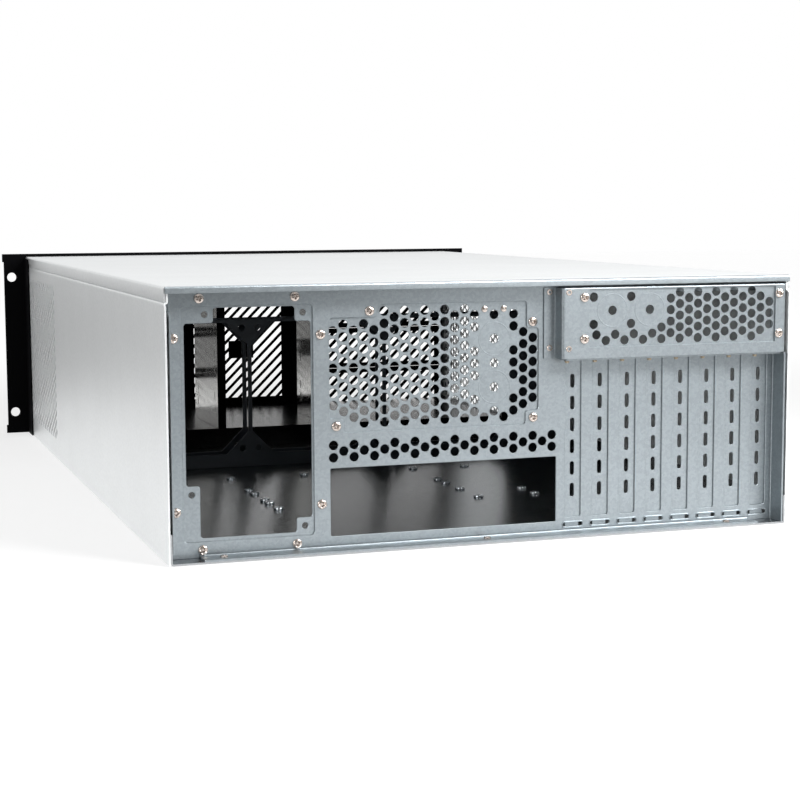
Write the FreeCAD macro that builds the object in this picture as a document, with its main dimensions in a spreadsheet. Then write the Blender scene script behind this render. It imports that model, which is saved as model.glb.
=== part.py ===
"""Empty 4U rackmount server case, as separate sheet-metal pieces and fasteners.

Frame: +X is the case's left side seen from behind it, +Y is the rear, +Z is up, in millimetres. The
origin is the middle of the footprint. Most places are easier to read as three distances:
    across  from the outside of the +X side wall towards the -X side wall
    inward  from the rear rim towards the front
    up      from the surface that the case stands on
"""
import FreeCAD, Part
import math
import os
import re

doc = FreeCAD.newDocument("RackCase")
sheet = doc.addObject("Spreadsheet::Sheet", "Sizes")

SIZES = {
    # The case as a whole
    "case_width": 438.0,
    "case_height": 174.0,
    "body_depth": 696.0,
    "metal": 1.2,
    "thin_metal": 1.0,
    "slide_gap": 0.3,
    "fold_gap": 0.2,
    # Base pan and side walls
    "pan_flange": 20.0,
    "pan_front_flange": 9.0,
    "cover_flange": 9.7,
    "roof_flange": 12.0,
    "mesh_front_margin": 12.0,
    "mesh_length": 182.0,
    "mesh_bottom": 20.0,
    "mesh_top_margin": 22.0,
    "mesh_step": 44.0,
    "mesh_opening": 18.0,
    # Top cover and the fixed strip in front of it
    "strip_length": 124.4,
    "cover_lip": 4.4,
    "strip_gap": 0.6,
    # Rear panel
    "rear_recess": 14.5,
    "panel_fold": 1.0,
    "panel_side": 2.8,
    "foot_start": 22.7,
    "foot_width": 393.0,
    "foot_screw_left": 14.0,
    "foot_screw_right": 21.0,
    "foot_head_radius": 2.5,
    "io_left": 109.5,
    "io_width": 158.75,
    "io_bottom": 9.3,
    "io_height": 44.45,
    # Power supply opening and its plate
    "psu_left": 12.9,
    "psu_width": 85.6,
    "psu_bottom": 11.2,
    "psu_top_margin": 13.4,
    "psu_rim": 2.2,
    "psu_hole": 2.1,
    "psu_hole_inset": 6.1,
    "psu_hole_low": 6.2,
    "psu_hole_side": 30.2,
    "psu_hole_top": 5.2,
    "psu_hole_left": 5.5,
    "psu_hole_top_left": 15.5,
    "psu_tab_reach": 5.5,
    "psu_screw_beside": 5.0,
    "psu_screw_beside_up": 19.7,
    "psu_screw_beyond": 5.0,
    "psu_screw_beyond_in": 11.8,
    "plate_margin": 4.2,
    # Perforation shared by the vent plate, the guard plate and the row over the I/O opening
    "hole_radius": 3.5,
    "hole_sides": 4,
    "hole_column": 6.975,
    "hole_row": 8.05,
    "knockout_clear": 14.2,
    "hole_margin": 2.4,
    # Vent opening and its plate
    "vent_left": 109.3,
    "vent_right": 255.2,
    "vent_bottom": 76.9,
    "vent_top_margin": 14.8,
    "vent_step_in": 33.3,
    "vent_step_down": 8.0,
    "vent_notch": 8.6,
    "vent_notch_top": 17.8,
    "vent_screw_inset": 4.2,
    "vent_screw_step": 6.1,
    "vent_corner": 9.2,
    "vent_hole_left": 112.1,
    "vent_hole_low": 86.4,
    "vent_plate_left": 107.9,
    "vent_plate_margin": 4.0,
    "knockout_across": 223.7,
    "knockout_low": 102.5,
    "knockout_rows": 4,
    # Row of holes over the I/O opening
    "row_left": 111.7,
    "row_low": 60.7,
    "row_columns": 23,
    # Expansion slots and their covers
    "slot_count": 8,
    "slot_pitch": 20.32,
    "slot_first": 280.7,
    "slot_width": 12.0,
    "slot_bottom": 11.8,
    "slot_ledge": 119.3,
    "slot_window_margin": 11.0,
    "slot_window_gap": 1.0,
    "slot_screw_aside": 8.0,
    "blank_width": 18.4,
    "blank_foot": 10.2,
    "blank_shoulder": 9.4,
    "vent_slot_width": 3.0,
    "vent_slot_height": 9.3,
    "vent_slot_pitch": 14.9,
    "vent_slot_low": 25.4,
    "vent_slots": 6,
    "lance_width": 15.0,
    "lance_height": 2.6,
    "lance_bottom": 5.4,
    "foot_end": 3.0,
    "tab_reach": 10.0,
    # Guard over the slot screws and its plate
    "guard_left": 266.6,
    "guard_right": 435.0,
    "guard_top_gap": 5.6,
    "guard_stand": 12.5,
    "guard_foot": 8.0,
    "guard_window_left": 286.3,
    "guard_window_right": 427.6,
    "guard_window_low": 7.4,
    "guard_window_high": 1.8,
    "guard_hole_left": 290.9,
    "guard_hole_low": 10.9,
    "guard_knockout": 304.85,
    "guard_knockout_up": 31.0,
    "guard_rivet_in": 5.0,
    "guard_rivet_low": 7.0,
    "guard_rivet_high": 3.5,
    "guard_screw_left": 282.9,
    "guard_screw_right": 430.4,
    "guard_screw_low": 13.1,
    "guard_screw_high": 7.0,
    # Fasteners
    "head_radius": 3.2,
    "head_height": 1.7,
    "shank_radius": 1.5,
    "shank_gap": 0.1,
    "tip_radius": 1.6,
    "tip_length": 5.5,
    "rivet_radius": 2.0,
    "rivet_height": 0.8,
    # Standoffs for the main board
    "board_first": 115.4,
    "board_second": 157.48,
    "board_third": 203.8,
    "board_extra": 62.0,
    "board_rear_row": 169.5,
    "board_step_next": 26.0,
    "board_step_mid": 40.0,
    "board_step_far": 72.0,
    "board_step_low": 90.0,
    "board_step_front": 151.5,
    "standoff_radius": 3.8,
    "standoff_height": 2.0,
    # Fan bracket: a channel that three fans drop into
    "fans_from_front": 310.0,
    "fan_depth": 25.6,
    "fan_pitch": 120.6,
    "fan_first_post": 148.8,
    "fan_post": 4.0,
    "fan_rail": 12.5,
    "fan_bracket_top": 131.3,
    "fan_top_rail": 6.7,
    "fan_gusset": 19.0,
    "fan_hole": 2.4,
    "fan_hole_sides": 6,
    "fan_hole_spacing": 105.0,
    "fan_hole_offset": 7.5,
    # Drive cage and the raised tray under it
    "tray_length": 178.0,
    "tray_height": 18.0,
    "cage_from_front": 182.0,
    "cage_depth": 99.0,
    "cage_left": 150.0,
    "cage_width": 104.2,
    "cage_top": 140.0,
    "cage_flange": 7.5,
    "rail_height": 2.0,
    "rail_reach": 3.0,
    "rail_low": 6.0,
    "rail_pitch": 39.0,
    "cage_slot_width": 3.0,
    "cage_slot_height": 7.0,
    "cage_slot_inset": 12.0,
    "cage_slot_low": 14.0,
    # Front panel, bays and grille
    "front_metal": 2.5,
    "ear_width": 22.3,
    "front_rise": 2.8,
    "ear_step": 1.4,
    "ear_tab": 7.8,
    "rack_hole": 4.5,
    "rack_hole_inset": 8.74,
    "rack_hole_low": 20.725,
    "rack_hole_high": 22.725,
    "side_return": 28.0,
    "side_return_drop": 4.8,
    "return_chamfer": 5.0,
    "bay_inset": 4.0,
    "bay_width": 148.5,
    "bay_pitch": 42.2,
    "bay_bottom": 10.5,
    "bay_count": 3,
    "bay_gap": 0.25,
    "bay_border": 5.0,
    "grille_left": 163.5,
    "grille_width": 96.4,
    "grille_bottom": 26.0,
    "grille_top_margin": 30.8,
    "grille_edge": 5.0,
    "grille_boss": 26.0,
    "grille_boss_height": 18.0,
    "grille_boss_across": 216.0,
    "grille_boss_up": 76.0,
    "louvre_pitch": 10.1,
    "louvre_slot": 4.2,
    "bay_louvre_pitch": 16.8,
    # Power and reset buttons with their bracket
    "button_drop": 15.8,
    "power_across": 200.0,
    "reset_across": 224.0,
    "power_radius": 6.0,
    "reset_radius": 3.5,
    "button_stand": 1.0,
    "button_travel": 2.5,
    "button_flange": 1.6,
    "button_rim": 2.0,
    "button_gap": 0.3,
    "button_sides": 16,
    "switch_margin": 2.0,
    "switch_foot": 8.0,
    "switch_plate_width": 48.0,
    "switch_plate_height": 20.0,
    "light_radius": 1.5,
    "light_across": 238.0,
    "light_pitch": 7.0,
    "light_count": 2,
    "light_length": 6.0,
}

for row, (alias, number) in enumerate(SIZES.items(), 1):
    sheet.set("A%d" % row, alias.replace("_", " "))
    sheet.set("B%d" % row, str(number))
    sheet.setAlias("B%d" % row, alias)
doc.recompute()


class Numbers:
    """The sheet's values as plain numbers, for the shapes that code works out."""

    def __getattr__(self, alias):
        return float(sheet.get(alias))


at = Numbers()
WORD = re.compile(r"[a-z][a-z_0-9]*")

RIM = "((body_depth + front_metal + button_stand) / 2)"
PANEL_BACK = "(rear_recess + metal)"
ROOF = "(case_height - metal - slide_gap)"
JOG = "(metal + slide_gap)"
SHOULDER = "(case_height - cover_flange)"
ROOF_START = "(rear_recess + roof_flange + panel_fold)"
COVER_DEPTH = "(body_depth - strip_length - strip_gap)"
VENT_TOP = "(case_height - vent_top_margin)"
PSU_TOP = "(case_height - psu_top_margin)"
PSU_RIGHT = "(psu_left + psu_width)"
GUARD_LOW = "(slot_ledge + metal)"
GUARD_TOP = "(case_height - guard_top_gap)"
FANS = "(body_depth - fans_from_front)"
TRAY = "(body_depth - tray_length)"
CAGE = "(body_depth - cage_from_front)"
FRONT_HEIGHT = "(case_height + front_rise)"
BUTTON_UP = "(case_height + front_rise - button_drop)"
vent_top = at.case_height - at.vent_top_margin
psu_top = at.case_height - at.psu_top_margin
psu_right = at.psu_left + at.psu_width
guard_low = at.slot_ledge + at.metal
guard_top = at.case_height - at.guard_top_gap
fans = at.body_depth - at.fans_from_front
front_height = at.case_height + at.front_rise
button_up = front_height - at.button_drop
subparts = []


def in_sheet(text):
    """Put the sheet's name before each alias in an expression."""
    def sized(word):
        return "Sizes." + word.group() if word.group() in SIZES else word.group()
    return WORD.sub(sized, str(text))


def bind(thing, prop, text):
    thing.setExpression(prop, in_sheet(text))


def set_place(thing, x, y, z):
    bind(thing, "Placement.Base.x", x)
    bind(thing, "Placement.Base.y", y)
    bind(thing, "Placement.Base.z", z)


def block(name, across, wide, inward, deep, up, tall):
    """A box from its near corner, given across, inward and up, and its three sizes."""
    box = doc.addObject("Part::Box", name)
    bind(box, "Length", wide)
    bind(box, "Width", deep)
    bind(box, "Height", tall)
    set_place(box, "case_width / 2 - (%s) - (%s)" % (across, wide), "%s - (%s) - (%s)" % (RIM, inward, deep), up)
    return box


def prism(name, sides, radius, length, across, inward, up, facing="rear"):
    """A many-sided rod. Facing rear it runs from inward towards the rear; facing up it rises from up."""
    rod = doc.addObject("Part::Prism", name)
    rod.Polygon = sides
    bind(rod, "Circumradius", radius)
    bind(rod, "Height", length)
    if facing == "rear":
        rod.Placement = FreeCAD.Placement(FreeCAD.Vector(), FreeCAD.Rotation(FreeCAD.Vector(1, 0, 0), -90))
    set_place(rod, "case_width / 2 - (%s)" % across, "%s - (%s)" % (RIM, inward), up)
    return rod


def cylinder(name, radius, length, across, inward, up):
    """A round rod along the depth, from inward towards the rear."""
    rod = doc.addObject("Part::Cylinder", name)
    bind(rod, "Radius", radius)
    bind(rod, "Height", length)
    rod.Placement = FreeCAD.Placement(FreeCAD.Vector(), FreeCAD.Rotation(FreeCAD.Vector(1, 0, 0), -90))
    set_place(rod, "case_width / 2 - (%s)" % across, "%s - (%s)" % (RIM, inward), up)
    return rod


def fuse(name, *pieces):
    whole = doc.addObject("Part::MultiFuse", name)
    whole.Shapes = list(pieces)
    whole.Refine = True
    return whole


def cut(name, base, *tools):
    hollow = doc.addObject("Part::Cut", name)
    hollow.Base = base
    hollow.Tool = tools[0] if len(tools) == 1 else fuse(name + "_tools", *tools)
    return hollow


def group(name, pieces):
    """Separate solids of one kind that share a node."""
    together = doc.addObject("Part::Compound", name)
    together.Links = list(pieces)
    return together


def subpart(thing, label):
    thing.Label = label
    subparts.append(thing)
    return thing


def rim():
    return (at.body_depth + at.front_metal + at.button_stand) / 2


def corner(across, inward, up):
    return FreeCAD.Vector(at.case_width / 2 - across, rim() - inward, up)


def rectangle(left, low, width, height):
    return [(left, low), (left + width, low), (left + width, low + height), (left, low + height)]


def polygon(left, low, radius, sides, turn=0.0):
    steps = [turn + 2 * math.pi * step / sides for step in range(sides)]
    return [(left + radius * math.cos(step), low + radius * math.sin(step)) for step in steps]


def wire(outline, place):
    """A closed wire through the points of an outline; place puts a pair into space."""
    points = [place(*point) for point in outline]
    return Part.makePolygon(points + points[:1])


def upright(outline, openings, inward, thick):
    """A plate across the case with its near face at inward, and openings cut right through it."""
    wires = [wire(line, lambda across, up: corner(across, inward, up)) for line in [outline] + list(openings)]
    face = Part.makeFace(Part.Compound(wires), "Part::FaceMakerBullseye")
    return face.extrude(FreeCAD.Vector(0, -thick, 0))


def coded(name, shape):
    """A shape worked out from the sheet's values."""
    thing = doc.addObject("Part::Feature", name)
    thing.Shape = shape
    return thing


def inside(point, outline, margin):
    """Whether a point lies in a convex or stepped outline, at least margin from each of its edges."""
    crossings = 0
    for (x1, y1), (x2, y2) in zip(outline, outline[1:] + outline[:1]):
        run = math.hypot(x2 - x1, y2 - y1)
        along = max(0, min(run, ((point[0] - x1) * (x2 - x1) + (point[1] - y1) * (y2 - y1)) / run))
        near = (x1 + (x2 - x1) * along / run, y1 + (y2 - y1) * along / run)
        if math.hypot(point[0] - near[0], point[1] - near[1]) < margin:
            return False
        if (y1 > point[1]) != (y2 > point[1]):
            crossings += point[0] < x1 + (point[1] - y1) / (y2 - y1) * (x2 - x1)
    return crossings % 2 == 1


def staggered(outline, first, low, knockouts):
    """Centres of staggered holes inside an outline. None lies close to a knock-out, apart from its own."""
    across = [point[0] for point in outline]
    up = [point[1] for point in outline]
    centres = []
    for column in range(int((max(across) - first) / at.hole_column) + 1):
        shift = at.hole_row / 2 if column % 2 else 0.0
        for row in range(-2, int((max(up) - low) / at.hole_row) + 1):
            spot = (first + column * at.hole_column, low + row * at.hole_row - shift)
            gaps = [math.hypot(spot[0] - centre[0], spot[1] - centre[1]) for centre in knockouts]
            apart = all(gap < at.hole_radius or gap > at.knockout_clear for gap in gaps)
            if apart and inside(spot, outline, at.hole_margin):
                centres.append(spot)
    return centres


def holes(centres):
    return [polygon(across, up, at.hole_radius, int(at.hole_sides)) for across, up in centres]


def louvres(left, low, width, height, pitch, keep_out=None):
    """Slanted slots that fill a field; some may be stopped by a plain patch in the middle."""
    slots = []
    half = at.louvre_slot / 2 * math.sqrt(2)
    field = upright(rectangle(left, low, width, height), [], 0, 1)
    if keep_out:
        field = field.cut(upright(rectangle(*keep_out), [], 0, 1))
    count = int((width + height) / pitch)
    for step in range(1, count + 1):
        start = low + height - step * pitch
        band = [(left, start - half), (left, start + half),
                (left + width, start + half + width), (left + width, start - half + width)]
        slot = upright(band, [], 0, 1).common(field)
        for piece in slot.Solids:
            if piece.Volume > at.louvre_slot ** 2:
                slots.append(piece)
    outlines = []
    for piece in slots:
        face = max(piece.Faces, key=lambda side: (side.Area, side.CenterOfMass.y))
        points = [vertex.Point for vertex in face.OuterWire.OrderedVertexes]
        outlines.append([(at.case_width / 2 - point.x, point.z) for point in points])
    return outlines


# Base pan: floor with its side and front flanges turned up
floor = block("floor", "metal", "case_width - 2 * metal", "0", "body_depth", "0", "metal")
left_flange = block("pan_left", "metal", "metal", "0", "body_depth", "0", "pan_flange")
right_flange = block("pan_right", "case_width - 2 * metal", "metal", "0", "body_depth", "0", "pan_flange")
front_flange = block("pan_front", "metal", "case_width - 2 * metal", "body_depth - metal", "metal", "0",
                     "pan_front_flange")
subpart(fuse("pan", floor, left_flange, right_flange, front_flange), "base_pan")


def side_wall(name, mirrored):
    """A side wall whose top is stepped in for the cover's flange and turned over as a roof flange."""
    def flip(across, wide):
        return "case_width - (%s) - (%s)" % (across, wide) if mirrored else across
    face = block(name + "_face", flip("0", "metal"), "metal", "0", "body_depth", "0", SHOULDER)
    step = block(name + "_step", flip("0", JOG + " + metal"), JOG + " + metal", JOG, "body_depth - " + JOG,
                 SHOULDER + " - metal", "metal")
    upper = block(name + "_upper", flip(JOG, "metal"), "metal", JOG, "body_depth - " + JOG,
                  SHOULDER + " - metal", "%s - %s + metal" % (ROOF, SHOULDER))
    roof = block(name + "_roof", flip(JOG, "roof_flange"), "roof_flange", ROOF_START,
                 "body_depth - " + ROOF_START, ROOF + " - metal", "metal")
    wall = fuse(name + "_body", face, step, upper, roof)
    openings = []
    across = at.case_width if mirrored else at.metal
    for column in range(int(at.mesh_length / at.mesh_step)):
        for row in range(int((at.case_height - at.mesh_top_margin - at.mesh_bottom) / at.mesh_step)):
            middle = at.body_depth - at.mesh_front_margin - (column + 0.5) * at.mesh_step
            up = at.mesh_bottom + (row + (0.5 if column % 2 else 0.75)) * at.mesh_step
            diamond = [corner(across, middle + along, up + rise)
                       for along, rise in polygon(0, 0, at.mesh_opening, 4)]
            openings.append(Part.Face(Part.makePolygon(diamond + diamond[:1])))
    tool = coded(name + "_mesh", Part.Compound(openings).extrude(FreeCAD.Vector(at.metal, 0, 0)))
    return cut(name, wall, tool)


subpart(side_wall("wall_left", False), "side_wall_left")
subpart(side_wall("wall_right", True), "side_wall_right")

# Top cover: flat sheet, side flanges over the walls' steps, and a lip over the rear rim
cover_top = block("cover_top", "0", "case_width", "0", COVER_DEPTH, "case_height - metal", "metal")
cover_left = block("cover_left", "0", "metal", "0", COVER_DEPTH, SHOULDER + " + fold_gap",
                   "cover_flange - fold_gap")
cover_right = block("cover_right", "case_width - metal", "metal", "0", COVER_DEPTH, SHOULDER + " + fold_gap",
                    "cover_flange - fold_gap")
cover_lip = block("cover_lip_face", "0", "case_width", "0", "metal", "case_height - cover_lip", "cover_lip")
subpart(fuse("cover", cover_top, cover_left, cover_right, cover_lip), "top_cover")

# Fixed strip between the cover and the front panel
STRIP = "(body_depth - strip_length)"
strip_top = block("strip_top", "0", "case_width", STRIP, "body_depth - " + STRIP, "case_height - metal",
                  "metal")
strip_left = block("strip_left", "0", "metal", STRIP, "body_depth - " + STRIP, SHOULDER + " + fold_gap",
                   "cover_flange - fold_gap")
strip_right = block("strip_right", "case_width - metal", "metal", STRIP, "body_depth - " + STRIP,
                    SHOULDER + " + fold_gap", "cover_flange - fold_gap")
subpart(fuse("strip", strip_top, strip_left, strip_right), "front_top_strip")


# Outlines in the rear panel
def slot_centres():
    return [at.slot_first + index * at.slot_pitch for index in range(int(at.slot_count))]


vent_outline = [
    (at.vent_left + at.vent_step_in, vent_top), (at.vent_right - at.vent_notch, vent_top),
    (at.vent_right - at.vent_notch, vent_top - at.vent_notch_top),
    (at.vent_right, vent_top - at.vent_notch_top),
    (at.vent_right, at.vent_bottom + at.vent_corner),
    (at.vent_right - at.vent_corner, at.vent_bottom + at.vent_corner),
    (at.vent_right - at.vent_corner, at.vent_bottom), (at.vent_left + at.vent_corner, at.vent_bottom),
    (at.vent_left + at.vent_corner, at.vent_bottom + at.vent_corner),
    (at.vent_left, at.vent_bottom + at.vent_corner), (at.vent_left, vent_top - at.vent_step_down),
    (at.vent_left + at.vent_step_in, vent_top - at.vent_step_down),
]
psu_outline = rectangle(at.psu_left, at.psu_bottom, at.psu_width, psu_top - at.psu_bottom)
io_outline = rectangle(at.io_left, at.io_bottom, at.io_width, at.io_height)
window_left = at.slot_first - at.blank_width / 2 - at.slot_window_gap
window_right = at.slot_first + (at.slot_count - 1) * at.slot_pitch + at.blank_width / 2 + at.slot_window_gap
slot_window = rectangle(window_left, at.slot_ledge + at.metal, window_right - window_left,
                        at.case_height - at.slot_window_margin - at.slot_ledge - at.metal)
slot_outlines = [rectangle(centre - at.slot_width / 2, at.slot_bottom, at.slot_width,
                           at.slot_ledge - at.slot_bottom) for centre in slot_centres()]
lance_outlines = [rectangle(centre - at.lance_width / 2, at.lance_bottom, at.lance_width, at.lance_height)
                  for centre in slot_centres()]
row_centres = []
for column in range(int(at.row_columns)):
    spot = at.row_left + column * at.hole_column
    heights = [at.row_low + at.hole_row / 2] if column % 2 else [at.row_low, at.row_low + at.hole_row]
    row_centres += [(spot, height) for height in heights]

psu_screw_places = [("psu_left - psu_screw_beside", "psu_bottom + psu_screw_beside_up"),
                    ("psu_left - psu_screw_beside", PSU_TOP + " - psu_screw_beside_up"),
                    (PSU_RIGHT + " + psu_screw_beside", "psu_bottom + psu_screw_beside_up"),
                    (PSU_RIGHT + " + psu_screw_beside", PSU_TOP + " - psu_screw_beside_up"),
                    ("psu_left + psu_screw_beyond_in", "psu_bottom - psu_screw_beyond"),
                    ("psu_left + psu_screw_beyond_in", PSU_TOP + " + psu_screw_beyond"),
                    (PSU_RIGHT + " - psu_screw_beyond_in", "psu_bottom - psu_screw_beyond"),
                    (PSU_RIGHT + " - psu_screw_beyond_in", PSU_TOP + " + psu_screw_beyond")]
vent_screw_places = [
    ("vent_left + vent_step_in - vent_screw_step", VENT_TOP + " - vent_step_down / 2"),
    ("vent_right - vent_notch / 2", VENT_TOP + " - vent_notch_top + vent_screw_inset"),
    ("vent_right - vent_screw_inset", "vent_bottom + vent_screw_inset"),
    ("vent_left + vent_screw_inset", "vent_bottom + vent_screw_inset"),
]
guard_screw_places = [(across, up) for across in ("guard_screw_left", "guard_screw_right")
                      for up in (GUARD_LOW + " + guard_screw_low", GUARD_TOP + " - guard_screw_high")]


def screw_holes(name, places, face):
    """A square rod through the sheet for each screw's shank."""
    return [prism("%s_hole_%d" % (name, number), 4, "shank_radius + shank_gap", "3 * metal", across,
                  "%s + 2 * metal" % face, up) for number, (across, up) in enumerate(places, 1)]


# Rear panel: one sheet with every opening, folded rearwards along the walls and over the floor
panel_outline = rectangle(at.panel_side, at.metal, at.case_width - 2 * at.panel_side,
                          at.case_height - 2 * at.metal - at.slide_gap)
panel_openings = [psu_outline, vent_outline, io_outline, slot_window]
panel_openings += slot_outlines + lance_outlines + holes(row_centres)
panel_sheet = coded("panel_sheet", upright(panel_outline, panel_openings, at.rear_recess, at.metal))
panel_left_fold = block("panel_left_fold", "panel_side", "metal", "fold_gap", PANEL_BACK + " - fold_gap",
                        "metal", SHOULDER + " - 2 * metal - cover_lip")
panel_right_fold = block("panel_right_fold", "case_width - panel_side - metal", "metal", "fold_gap",
                         PANEL_BACK + " - fold_gap", "metal", "slot_ledge - fold_gap")
panel_foot = block("panel_foot", "foot_start", "foot_width", "fold_gap", PANEL_BACK + " - fold_gap", "metal",
                   "metal")
panel_roof = block("panel_roof", "panel_side", "case_width - 2 * panel_side", "rear_recess", "roof_flange",
                   ROOF + " - metal", "metal")
ledge = block("ledge", "slot_first - blank_width / 2 - slot_window_gap",
              "(slot_count - 1) * slot_pitch + blank_width + 2 * slot_window_gap",
              "rear_recess - guard_stand + metal",
              "guard_stand - metal", "slot_ledge", "metal")
panel_whole = fuse("panel_body", panel_sheet, panel_left_fold, panel_right_fold, panel_foot, panel_roof, ledge)
foot_places = ["foot_start + foot_screw_left", "foot_start + foot_width / 2",
               "foot_start + foot_width - foot_screw_right"]
foot_holes = [prism("foot_hole_%d" % number, 4, "shank_radius + shank_gap", "2 * metal", across,
                    "rear_recess / 2", "metal", "up") for number, across in enumerate(foot_places, 1)]
slot_screw_places = ["slot_first - slot_screw_aside + %d * slot_pitch" % number
                     for number in range(int(at.slot_count))]
tip_holes = [prism("tip_hole_%d" % number, 4, "tip_radius + shank_gap", "2 * metal", across,
                   "rear_recess / 2", "slot_ledge - metal / 2", "up")
             for number, across in enumerate(slot_screw_places, 1)]
screw_tools = screw_holes("psu_screw", psu_screw_places, "rear_recess")
screw_tools += screw_holes("vent_screw", vent_screw_places, "rear_recess")
subpart(cut("panel", panel_whole, *(foot_holes + tip_holes + screw_tools)), "rear_panel")

# Power supply plate, behind the panel, with four tabs that carry the supply's screws
rim_left = at.psu_left + at.psu_rim
rim_low = at.psu_bottom + at.psu_rim
rim_right = psu_right - at.psu_rim / 2
rim_high = psu_top - at.psu_rim / 2
tab = at.psu_tab_reach
low_left, up_left = at.psu_left + at.psu_hole_left, at.psu_bottom + at.psu_hole_side
low_right, up_right = psu_right - at.psu_hole_inset, at.psu_bottom + at.psu_hole_low
top_left, up_top = at.psu_left + at.psu_hole_top_left, psu_top - at.psu_hole_top
psu_window = [
    (top_left + tab, rim_high), (top_left + tab, up_top - tab), (rim_left, up_top - tab),
    (rim_left, up_left + tab), (low_left + tab, up_left + tab), (low_left + tab, rim_low),
    (low_right - tab, rim_low), (low_right - tab, up_right + tab), (rim_right, up_right + tab),
    (rim_right, up_top - tab), (low_right - tab, up_top - tab), (low_right - tab, rim_high),
]
plate_reach = at.psu_screw_beside + at.plate_margin
plate_outline = rectangle(at.psu_left - plate_reach, 2 * at.metal, at.psu_width + 2 * plate_reach,
                          psu_top + at.psu_screw_beyond + at.plate_margin - 2 * at.metal)
psu_sheet = coded("psu_sheet", upright(plate_outline, [psu_window], at.rear_recess + at.metal, at.metal))
psu_spots = [("psu_left + psu_hole_left", "psu_bottom + psu_hole_side"),
             (PSU_RIGHT + " - psu_hole_inset", "psu_bottom + psu_hole_low"),
             ("psu_left + psu_hole_top_left", PSU_TOP + " - psu_hole_top"),
             (PSU_RIGHT + " - psu_hole_inset", PSU_TOP + " - psu_hole_top")]
psu_bores = [cylinder("psu_bore_%d" % number, "psu_hole", "3 * metal", across, "rear_recess + 3 * metal", up)
             for number, (across, up) in enumerate(psu_spots, 1)]
subpart(cut("psu", psu_sheet, *psu_bores), "psu_plate")

# Vent plate: staggered holes round two knock-outs
knockouts = [(at.knockout_across, at.knockout_low),
             (at.knockout_across, at.knockout_low + at.knockout_rows * at.hole_row)]
vent_right_edge = at.vent_right + at.vent_plate_margin
vent_sheet_outline = rectangle(at.vent_plate_left, at.vent_bottom - at.vent_plate_margin,
                               vent_right_edge - at.vent_plate_left,
                               vent_top - at.vent_bottom + 2 * at.vent_plate_margin)
vent_centres = staggered(vent_outline, at.vent_hole_left, at.vent_hole_low, knockouts)
subpart(coded("vent", upright(vent_sheet_outline, holes(vent_centres), at.rear_recess + at.metal, at.thin_metal)),
        "vent_plate")


# Slot covers: a slotted strip behind the panel, a narrow foot and a tab turned rearwards on the ledge
def slot_cover(number, centre):
    top = at.slot_ledge + at.metal + at.thin_metal
    half, foot = at.blank_width / 2, at.blank_foot / 2
    outline = [(centre - half, top), (centre - half, at.blank_shoulder), (centre - foot, at.blank_shoulder),
               (centre - foot, at.foot_end), (centre + foot, at.foot_end), (centre + foot, at.blank_shoulder),
               (centre + half, at.blank_shoulder), (centre + half, top)]
    slots = [rectangle(centre - at.vent_slot_width / 2, at.vent_slot_low + step * at.vent_slot_pitch,
                       at.vent_slot_width, at.vent_slot_height) for step in range(int(at.vent_slots))]
    strip = coded("blank_strip_%d" % number, upright(outline, slots, at.rear_recess + at.metal, at.thin_metal))
    middle = "(slot_first + %d * slot_pitch)" % (number - 1)
    reach = block("blank_tab_%d" % number, middle + " - blank_width / 2", "blank_width",
                  PANEL_BACK + " - tab_reach", "tab_reach + thin_metal", "slot_ledge + metal", "thin_metal")
    hole = prism("blank_hole_%d" % number, 4, "tip_radius + shank_gap", "3 * metal",
                 middle + " - slot_screw_aside", "rear_recess / 2", "slot_ledge", "up")
    return cut("blank_%d" % number, fuse("blank_body_%d" % number, strip, reach), hole)


for number, centre in enumerate(slot_centres(), 1):
    subpart(slot_cover(number, centre), "slot_cover_%d" % number)

# Guard over the slot screws: a shallow box open to the panel, with a window
guard_outline = rectangle(at.guard_left, guard_low, at.guard_right - at.guard_left, guard_top - guard_low)
guard_window = rectangle(at.guard_window_left, guard_low + at.guard_window_low,
                         at.guard_window_right - at.guard_window_left,
                         guard_top - at.guard_window_high - guard_low - at.guard_window_low)
GUARD_FACE = "(rear_recess - guard_stand)"
GUARD_TALL = "(%s - %s)" % (GUARD_TOP, GUARD_LOW)
guard_sheet = coded("guard_sheet", upright(guard_outline, [guard_window], at.rear_recess - at.guard_stand, at.metal))
guard_side = block("guard_side", "guard_left", "metal", GUARD_FACE, "guard_stand", GUARD_LOW, GUARD_TALL)
guard_roof = block("guard_roof", "guard_left", "guard_right - guard_left", GUARD_FACE, "guard_stand",
                   GUARD_TOP + " - metal", "metal")
guard_foot = block("guard_foot_face", "guard_left - guard_foot", "guard_foot", "rear_recess - metal", "metal",
                   GUARD_LOW, GUARD_TALL)
guard_body = fuse("guard_body", guard_sheet, guard_side, guard_roof, guard_foot)
subpart(cut("guard", guard_body, *screw_holes("guard_screw", guard_screw_places, GUARD_FACE)), "slot_guard")

guard_knockout_up = guard_low + at.guard_knockout_up
guard_knockouts = [(at.guard_knockout, guard_knockout_up),
                   (at.guard_knockout + 4 * at.hole_column, guard_knockout_up)]
guard_centres = staggered(guard_window, at.guard_hole_left, guard_low + at.guard_hole_low + at.hole_row / 2,
                          guard_knockouts)
guard_plate_outline = rectangle(at.guard_left + 2 * at.metal, at.slot_ledge + 3 * at.metal,
                                at.guard_right - at.guard_left - 3 * at.metal,
                                guard_top - at.slot_ledge - 4 * at.metal - at.fold_gap)
subpart(coded("guard_grid", upright(guard_plate_outline, holes(guard_centres),
                                    at.rear_recess - at.guard_stand + at.metal, at.thin_metal)), "guard_plate")


# Fasteners
def panel_screw(name, across, up, face, grip="metal"):
    """A pan-head screw: head on the face, shank through the sheet to the piece behind."""
    head = prism(name + "_head", 6, "head_radius", "head_height", across, face, up)
    shank = prism(name + "_shank", 4, "shank_radius", grip, across, "%s + %s" % (face, grip), up)
    return fuse(name, head, shank)


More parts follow.
